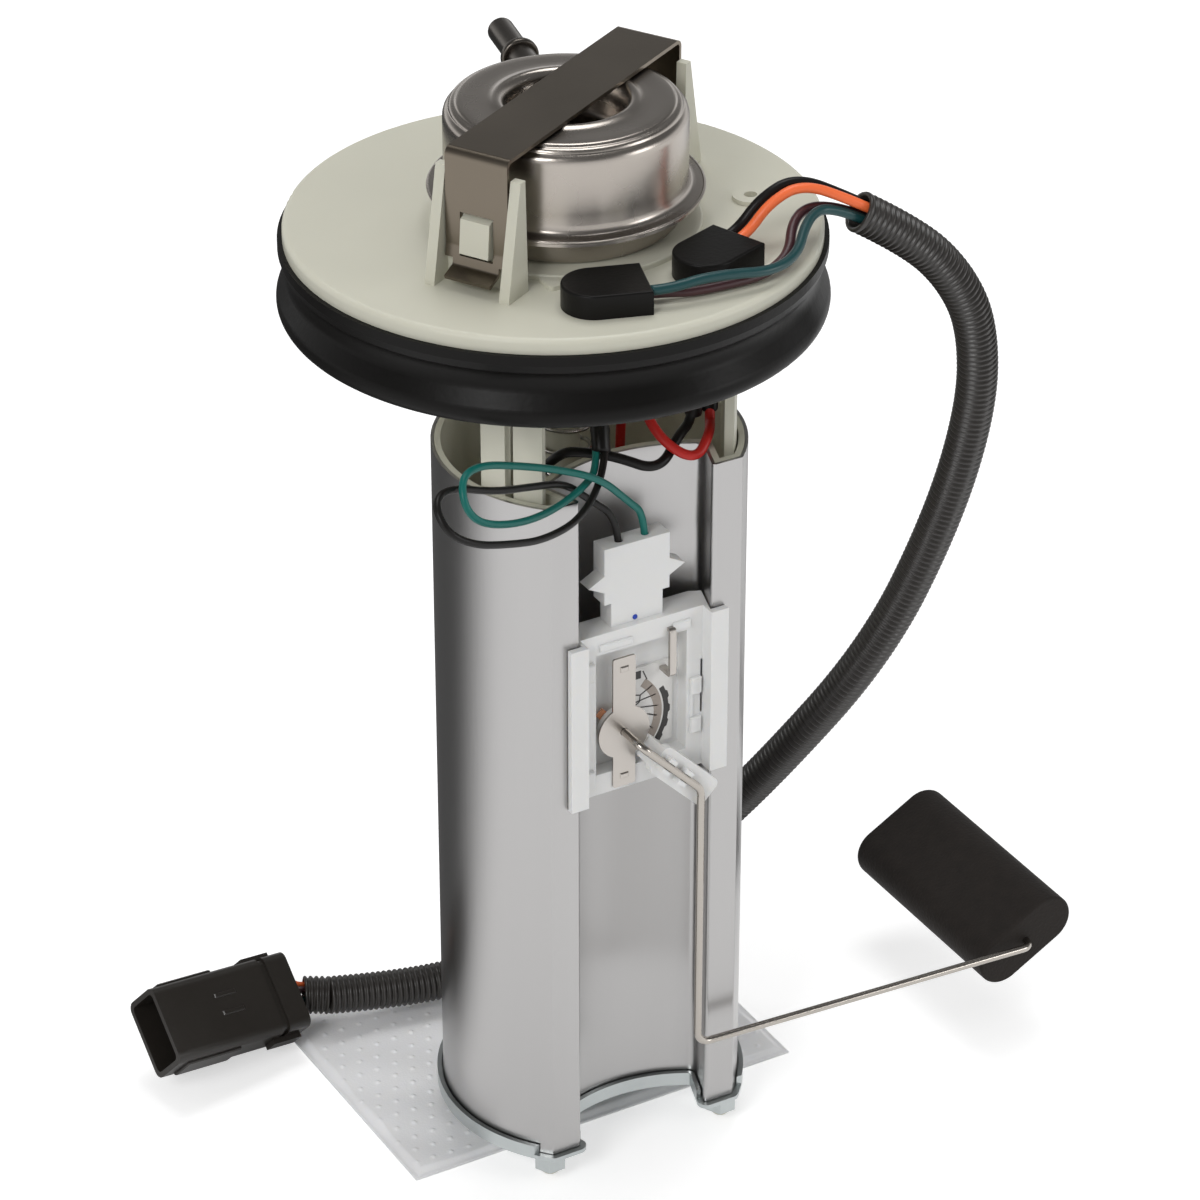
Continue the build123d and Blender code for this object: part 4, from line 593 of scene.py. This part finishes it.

# Joints on those leads: a shrunk sleeve gathers the two thin ones, and each thick one has a crimp
# under its own sleeve. They hang in the gap, tied to neither body.
sleeve_table = [
    ("sender_lead_sleeve_shrunk", "sender_lead_sleeve", [(tuple(shrink_start), tuple(shrink_end), 2.4)]),
    ("lead_crimps_shrunk", "lead_crimps", [((28.2, -30.2, -34.0), (28.2, -30.2, -44.5), 2.2),
                                           ((23.2, -30.6, -34.0), (23.2, -30.6, -44.5), 2.2)]),
]
sleeve_rings = 12
sleeve_around = 24
for name, node, runs in sleeve_table:
    vertices, faces = [], []
    for start, end, radius in runs:
        line = np.linspace(start, end, sleeve_rings)
        lengths = np.linspace(0.0, np.linalg.norm(np.subtract(end, start)), sleeve_rings)
        reach = lengths[-1]
        sections = [(0.0, radius - 0.45), (0.25, radius - 0.1), (0.7, radius), (0.35 * reach, radius),
                    (0.5 * reach, radius + 0.12), (0.65 * reach, radius), (reach - 0.7, radius),
                    (reach - 0.25, radius - 0.1), (reach, radius - 0.45)]
        first = len(vertices)
        vertices += swept_points(line, lengths, sections, sleeve_around).tolist()
        faces += [tuple(first + k for k in face) for face in ring_faces(len(sections), sleeve_around)]
    piece = add_mesh(name, vertices, faces, None, lead_black)
    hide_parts(node)
    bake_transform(piece)

# Return spring and fuel hose: a coil of steel wire round the centre tube, and a rubber hose from that
# tube down to the pump.
tube_y = -3.0
spring_top = -8.55
spring_bottom = -89.05
spring_pitch = 6.5
spring_radius = 7.8
wire_radius = 0.55
wire_around = 10
steps_a_turn = 28
spring_turns = (spring_top - spring_bottom) / spring_pitch
turns = np.linspace(0.0, spring_turns * 2 * math.pi, int(spring_turns * steps_a_turn))
coil = np.stack([spring_radius * np.cos(turns), spring_radius * np.sin(turns) + tube_y,
                 spring_top - spring_pitch * turns / (2 * math.pi)], axis=1)
coil_lengths = np.r_[0.0, np.cumsum(np.linalg.norm(np.diff(coil, axis=0), axis=1))]
spring_steel = finish("spring_steel", (0.42, 0.40, 0.38), 0.28, metal=1.0)
sections = [(length, wire_radius) for length in coil_lengths]
spring = add_mesh("return_spring_coil", swept_points(coil, coil_lengths, sections, wire_around),
                  ring_faces(len(sections), wire_around), None, spring_steel)
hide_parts("return_spring")
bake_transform(spring)


def weld(piece):
    """Points that lie on each other become one, so a turned section closes on itself and at its pole."""
    body = bmesh.new()
    body.from_mesh(piece.data)
    bmesh.ops.remove_doubles(body, verts=body.verts, dist=1e-7)
    bare_edges = [edge for edge in body.edges if not edge.link_faces]
    bmesh.ops.delete(body, geom=bare_edges, context="EDGES")
    body.to_mesh(piece.data)
    body.free()


soft_rubber = finish("soft_rubber", (0.025, 0.025, 0.025), 0.5, mottle=0.1, grain=0.3)
hose_top = -102.0
hose_bottom = -166.0
hose_radius = 7.2
hose_bore = 5.2
hose_round = 0.5
hose_rings = 20
hose_around = 32
hose_length = hose_top - hose_bottom
hose_line = np.linspace((0.0, tube_y, hose_top), (0.0, tube_y, hose_bottom), hose_rings)
hose_lengths = np.linspace(0.0, hose_length, hose_rings)
sections = [(hose_round, hose_bore), (0.0, hose_bore + hose_round), (0.0, hose_radius - hose_round),
            (hose_round, hose_radius)]
sections += [(length, hose_radius) for length in hose_lengths[1:-1]]
sections += [(hose_length - hose_round, hose_radius), (hose_length, hose_radius - hose_round),
             (hose_length, hose_bore + hose_round), (hose_length - hose_round, hose_bore),
             (hose_round, hose_bore)]
hose = add_mesh("fuel_hose_tube", swept_points(hose_line, hose_lengths, sections, hose_around),
                ring_faces(len(sections), hose_around, False, False), None, soft_rubber)
weld(hose)
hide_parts("fuel_hose")
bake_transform(hose)

# Filter can's upper shell: deep-drawn stainless steel with a stepped shoulder, a raised lip round the
# open well in its top, and an outer skirt that is rolled over the lower shell.
can_steel = finish("can_steel", (0.41, 0.375, 0.34), 0.27, metal=1.0, mottle=0.05, mottle_scale=45,
                   rough_spread=0.05, grain=0.03, grain_scale=700)
can_profile = [
    (34.2, 14.25), (34.75, 14.3), (34.9, 14.5), (34.75, 14.72), (34.2, 14.8), (32.6, 14.85),
    (31.7, 15.0), (31.15, 15.4), (30.8, 16.2), (30.62, 17.4), (30.6, 20.0), (30.6, 27.0), (30.6, 32.6),
    (30.55, 33.6), (30.3, 34.5), (29.85, 35.1), (29.4, 35.45), (29.15, 35.6), (29.05, 35.85),
    (28.95, 36.25), (28.6, 36.6), (28.15, 36.75), (27.75, 36.8), (27.5, 36.9), (27.35, 37.15),
    (27.05, 37.4), (26.5, 37.5), (24.5, 37.5), (22.0, 37.48), (19.8, 37.5), (19.0, 37.6),
    (18.4, 37.85), (17.9, 38.08), (17.3, 38.15), (16.7, 38.05), (16.1, 37.7), (15.5, 37.0),
    (14.9, 35.8), (14.3, 34.0), (13.9, 31.5), (13.6, 29.2), (13.3, 28.1), (12.7, 27.35),
    (11.8, 27.0), (9.0, 26.95), (4.0, 26.95), (0.0, 26.95),
]
can_centre = (1.5, -4.0)
can_wall_shown = 0.6


def revolved_points(profile, centre, around):
    """Rings about a vertical line through centre, one for each radius and height of the profile."""
    turns = np.arange(around) * 2 * math.pi / around
    rows = []
    for radius, height in profile:
        rows.append(np.stack([centre[0] + radius * np.cos(turns), centre[1] + radius * np.sin(turns),
                              np.full(around, height)], axis=1))
    return np.concatenate(rows)


line = np.array(can_profile)
heading = np.gradient(line, axis=0)
heading /= np.linalg.norm(heading, axis=1)[:, None]
inner = line + can_wall_shown * np.stack([heading[:, 1] * -1.0, heading[:, 0]], axis=1)
inner[:, 0] = np.maximum(inner[:, 0], 0.0)
inner[-1, 0] = 0.0
shell_profile = line.tolist() + inner[::-1].tolist() + [line[0].tolist()]
can_around = 144
can = add_mesh("can_upper_drawn", revolved_points(shell_profile, can_centre, can_around),
               ring_faces(len(shell_profile), can_around, False, False), "head", can_steel)
weld(can)
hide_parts("can_upper_shell")

# Strainer sock: two sheets of white pressed felt, calendered until they shine a little, dotted with
# small raised welds and closed round the edge. It lies slack on the tank's floor under the reservoir.
sock_low = (-58.8, -27.0)
sock_high = (58.8, 57.0)
sock_floor = -258.0
sock_top = -255.5
dot_pitch = 5.4
dot_radius = 0.56
dot_height = 0.38
weld_width = 2.2
edge_thickness = 0.5
slack = 0.8
slack_wave = (41.0, 33.0, 23.0)


def sock_surface(columns, rows):
    """The upper sheet: slack inside and lower at the welded edge, with rounded dots in staggered rows.
    Each dot is a bell that falls off with the square of the distance from its centre, and the slack is
    three slow waves, multiplied, that only sink the sheet."""
    x = np.linspace(sock_low[0], sock_high[0], columns)
    y = np.linspace(sock_low[1], sock_high[1], rows)
    across, along = np.meshgrid(x, y)
    edge = np.minimum(np.minimum(across - sock_low[0], sock_high[0] - across),
                      np.minimum(along - sock_low[1], sock_high[1] - along))
    body = np.clip((edge - weld_width * 0.4) / weld_width, 0.0, 1.0)
    body = body * body * (3 - 2 * body)
    line = np.round((along - sock_low[1]) / dot_pitch)
    offset = 0.5 * dot_pitch * (line % 2)
    column = np.round((across - sock_low[0] - offset) / dot_pitch)
    gap = np.hypot(across - (sock_low[0] + offset + column * dot_pitch),
                   along - (sock_low[1] + line * dot_pitch))
    dots = dot_height * np.exp(-(gap / dot_radius) ** 2)
    turn = 2 * math.pi
    wave = (np.sin(turn * (across + 0.4 * along) / slack_wave[0]) * np.cos(turn * along / slack_wave[1])
            + 0.5 * np.sin(turn * (along - 0.7 * across) / slack_wave[2])) / 1.5
    lifted = (sock_top - dot_height - sock_floor - edge_thickness) * (1 - slack * (0.5 + 0.5 * wave))
    height = sock_floor + edge_thickness + lifted * body + dots * body
    return np.stack([across.ravel(), along.ravel(), height.ravel()], axis=1)


felt = finish("sock_felt", (0.93, 0.93, 0.94), 0.36, mottle=0.05, mottle_scale=45, grain=0.25,
              grain_scale=1500, rough_spread=0.1, inside=0.15)
columns, rows = 352, 252
upper = sock_surface(columns, rows)
faces = []
for row in range(rows - 1):
    for column in range(columns - 1):
        corner = row * columns + column
        faces.append((corner, corner + 1, corner + columns + 1, corner + columns))
rim = list(range(columns))
rim += [row * columns + columns - 1 for row in range(1, rows)]
rim += [(rows - 1) * columns + column for column in range(columns - 2, -1, -1)]
rim += [row * columns for row in range(rows - 2, 0, -1)]
lower = upper[rim].copy()
lower[:, 2] = sock_floor
first = len(upper)
for k in range(len(rim)):
    after = (k + 1) % len(rim)
    faces.append((rim[after], rim[k], first + k, first + after))
faces.append(tuple(first + k for k in range(len(rim) - 1, -1, -1)))
sock = add_mesh("strainer_sock_embossed", np.concatenate([upper, lower]), faces,
                "reservoir", felt)
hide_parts("strainer_sock")

# Resistor card's print: a pale silver contact track and a dark carbon track in arcs about the pivot,
# with trimmed pads and fine leads between them. It is screen-printed and stands proud of the ceramic.
card_face = -41.2
print_height = 0.06
trace_width = 0.34
pivot = (-5.4, -121.6)


def arc_outline(inner_radius, outer_radius, start, end, steps, notch=0.0):
    """A band about the pivot between two radii and two angles in degrees; notch steps its outer edge."""
    angles = np.radians(np.linspace(start, end, steps))
    reaches = [outer_radius - notch * (k // 4 % 2) for k in range(steps)]
    outer = [(pivot[0] + reach * math.cos(a), pivot[1] + reach * math.sin(a))
             for reach, a in zip(reaches, angles)]
    inner = [(pivot[0] + inner_radius * math.cos(a), pivot[1] + inner_radius * math.sin(a))
             for a in angles[::-1]]
    return outer + inner


def strip_outline(start, end, width):
    """A straight strip from start to end on the card."""
    ahead = np.subtract(end, start)
    ahead = ahead / np.linalg.norm(ahead)
    side = np.array((-ahead[1], ahead[0])) * width / 2
    return [tuple(np.add(start, side)), tuple(np.subtract(start, side)),
            tuple(np.subtract(end, side)), tuple(np.add(end, side))]


def slabs(outlines, back, front):
    """Flat plates that stand in XZ: each outline's points, from the depth back to the depth front."""
    vertices, faces = [], []
    for outline in outlines:
        first, count = len(vertices), len(outline)
        vertices += [(x, back, z) for x, z in outline] + [(x, front, z) for x, z in outline]
        half = count // 2
        for k in range(half - 1):
            quad = (k, k + 1, count - 2 - k, count - 1 - k)
            faces.append(tuple(first + count + j for j in quad))
            faces.append(tuple(first + j for j in reversed(quad)))
        for k in range(count):
            after = (k + 1) % count
            faces.append((first + k, first + after, first + count + after, first + count + k))
    return vertices, faces


silver_print = finish("card_silver", (0.36, 0.31, 0.27), 0.45, mottle=0.08, mottle_scale=200)
carbon_print = finish("card_carbon", (0.035, 0.033, 0.032), 0.5, mottle=0.1, mottle_scale=200)
vertices, faces = slabs([arc_outline(11.3, 13.7, -38, 50, 34)], card_face, card_face - print_height)
add_mesh("card_contact_track", vertices, faces, "reservoir", silver_print, smooth=False)
marks = [arc_outline(14.2, 16.1, -36, 26, 32, notch=0.45),
         strip_outline((-0.6, -109.4), (2.0, -109.4), 2.3),
         strip_outline((-1.2, -118.2), (0.2, -118.2), 2.6)]
for start, end in [((-1.6, -110.4), (-1.6, -114.6)), ((-1.6, -114.6), (1.8, -115.6)),
                   ((1.8, -115.6), (1.6, -117.6)), ((1.6, -117.6), (0.0, -118.4)),
                   ((1.8, -115.6), (5.4, -113.6)), ((0.2, -117.4), (6.4, -116.6)),
                   ((0.2, -119.0), (7.0, -120.2)), ((2.0, -121.0), (6.8, -123.2)),
                   ((2.6, -123.6), (5.6, -126.8)), ((2.6, -108.6), (3.8, -111.4))]:
    marks.append(strip_outline(start, end, trace_width))
vertices, faces = slabs(marks, card_face, card_face - print_height)
add_mesh("card_resistor_print", vertices, faces, "reservoir", carbon_print, smooth=False)

# Flange, guide legs, centre tube and the reservoir's cup: moulded in a cream nylon that fuel doesn't
# swell. The mould leaves them satin, and light goes a little way in. The studs are part of the cup.
cream = finish("cream_nylon", (0.63, 0.62, 0.52), 0.42, mottle=0.035, mottle_scale=35, grain=0.10,
               inside=0.12)
dress(cream, "flange_plate", "guide_leg_left", "guide_leg_right", "centre_tube", "reservoir_cup",
      "reservoir_bridge", "base_studs")

# Tank seal: one moulded rubber ring, pressed up over the flange's spigot. Rubber is dark and satin,
# with a fine skin from the mould.
rubber = finish("seal_rubber", (0.0065, 0.006, 0.0056), 0.36, mottle=0.15, mottle_scale=40, grain=0.25,
                grain_scale=500, gloss=0.12)
dress(rubber, "tank_seal")

# Filter can's lower half, its nipple and the strap: drawn and rolled steel. The nipple is brazed in
# and keeps the heat's dark tint, and the strap is blued spring strip, bent over two towers.
dress(can_steel, "can_lower_shell")
dark_steel = finish("dark_steel", (0.12, 0.108, 0.095), 0.30, metal=1.0, mottle=0.10, grain=0.05)
dress(dark_steel, "outlet_nipple")
strip = finish("spring_strip", (0.185, 0.158, 0.125), 0.30, metal=1.0, mottle=0.09, mottle_scale=38,
               grain=0.06, rough_spread=0.05)
dress(strip, "retaining_strap")
paper = finish("filter_paper", (0.62, 0.52, 0.34), 0.85, grain=0.4)
dress(paper, "filter_element")
dress(soft_rubber, "neck_seals", "pump_isolators")

# Lead blocks and pins: glass-filled nylon, potted over brass pins that are pressed through the flange.
moulded_black = finish("moulded_black", (0.0075, 0.007, 0.0065), 0.36, mottle=0.12, grain=0.2, gloss=0.13)
dress(moulded_black, "pump_lead_block", "sender_lead_block")
brass = finish("brass", (0.70, 0.50, 0.22), 0.25, metal=1.0)
dress(brass, "flange_pins")

# Reservoir's skin and base: a sheet of aluminium, rolled up the sleeve's length and folded round the
# recess, over a zinc-plated steel disc that two hex nuts hold.
aluminium = finish("sleeve_aluminium", (0.43, 0.423, 0.42), 0.30, metal=1.0, mottle=0.05, mottle_scale=70,
                   stretch=(1, 1, 0.06), rough_spread=0.05, grain=0.05, grain_scale=900)
dress(aluminium, "outer_sleeve")
zinc = finish("zinc_plate", (0.48, 0.51, 0.51), 0.33, metal=1.0, mottle=0.12, mottle_scale=80, grain=0.06)
dress(zinc, "base_plate", "base_nuts")

# Sender: white acetal mouldings that snap together round a ceramic card, with clips and a keeper of
# tinned brass. Small raised blocks on its deck stiffen it, and a dab of wax marks a tested one.
white_plastic = finish("white_acetal", (0.83, 0.83, 0.82), 0.36, mottle=0.02, grain=0.08, inside=0.35)
dress(white_plastic, "strainer_neck", "sender_housing", "sender_plug", "wiper_arm")
ceramic = finish("ceramic_card", (0.78, 0.77, 0.75), 0.35, mottle=0.02)
dress(ceramic, "resistor_card")
tinned = finish("tinned", (0.47, 0.44, 0.41), 0.30, metal=1.0, mottle=0.06, mottle_scale=90, grain=0.05)
dress(tinned, "plug_terminals", "keeper_plate", "terminal_clip")
deck_front = 45.0
deck_sunk = 0.15
keeper_front = 45.6
bar_half = 0.8
east, top, towards_front = np.eye(3)[0], np.eye(3)[2], -np.eye(3)[1]
deck_blocks = [((low_x, low_z, deck_front - deck_sunk), (high_x, high_z, deck_front + height))
               for low_x, high_x, low_z, high_z, height in [
                   (-18.0, -14.2, -104.2, -99.0, 1.4), (-18.0, -14.2, -137.0, -131.2, 1.4),
                   (-18.0, -16.6, -131.2, -104.2, 0.6), (14.2, 17.4, -117.0, -112.2, 1.2),
                   (14.2, 17.4, -128.6, -124.0, 1.2), (14.2, 15.4, -124.0, -117.0, 0.5),
                   (9.0, 14.2, -96.6, -94.2, 0.8), (-12.4, -3.0, -96.4, -94.4, 0.8)]]
vertices, faces = blocks_in_frame(deck_blocks, np.zeros(3), east, top, towards_front, 0.3)
add_mesh("sender_deck_blocks", vertices, faces, "reservoir", white_plastic, smooth=False)
keeper_bars = [((-6.6, middle - bar_half, keeper_front - sunk),
                (-4.2, middle + bar_half, keeper_front + bar_height)) for middle in (-103.2, -135.2)]
vertices, faces = blocks_in_frame(keeper_bars, np.zeros(3), east, top, towards_front, 0.25)
add_mesh("keeper_pressed_bars", vertices, faces, "reservoir", tinned, smooth=False)
blue_wax = finish("blue_wax", (0.01, 0.05, 0.42), 0.4)
dot_line, dot_lengths = read_route("dot_line", [(-1.0, -43.0, -90.3), (-1.0, -43.35, -90.3),
                                                (-1.0, -43.6, -90.3)], 0.1)
dot_around = 20
sections = [(0.0, 0.2), (0.0, 0.75), (0.35, 0.7), (0.52, 0.45), (0.58, 0.15)]
add_mesh("sender_dot", swept_points(dot_line, dot_lengths, sections, dot_around),
         ring_faces(len(sections), dot_around), "reservoir", blue_wax)

# Float and its wire: closed-cell nitrile foam, cut from a moulded bar, on a bright steel wire whose
# bent end it turns on.
wire_steel = finish("float_wire_steel", (0.42, 0.39, 0.355), 0.22, metal=1.0, mottle=0.05, grain=0.03)
dress(wire_steel, "float_wire")
foam = finish("float_foam", (0.016, 0.0125, 0.0105), 0.72, mottle=0.35, mottle_scale=260, grain=0.9,
              grain_scale=1100, gloss=0.25)
dress(foam, "foam_float")

# Pump: a rolled steel case over ferrite magnets and a copper winding, closed by black mouldings. Two
# rubber rings and two band clamps hold it and its hose.
pump_steel = finish("pump_steel", (0.55, 0.54, 0.52), 0.3, metal=1.0)
dress(pump_steel, "pump_shell", "pump_shaft")
dress(moulded_black, "pump_inlet_body", "pump_mid_plate", "pump_outlet_cap")
ferrite = finish("ferrite", (0.06, 0.06, 0.065), 0.5)
dress(ferrite, "pump_magnets", "pump_brushes", "pump_impeller")
copper = finish("copper", (0.80, 0.38, 0.22), 0.3, metal=1.0)
dress(copper, "pump_armature", "wiper_contacts")
dress(spring_steel, "hose_clamp_upper", "hose_clamp_lower")
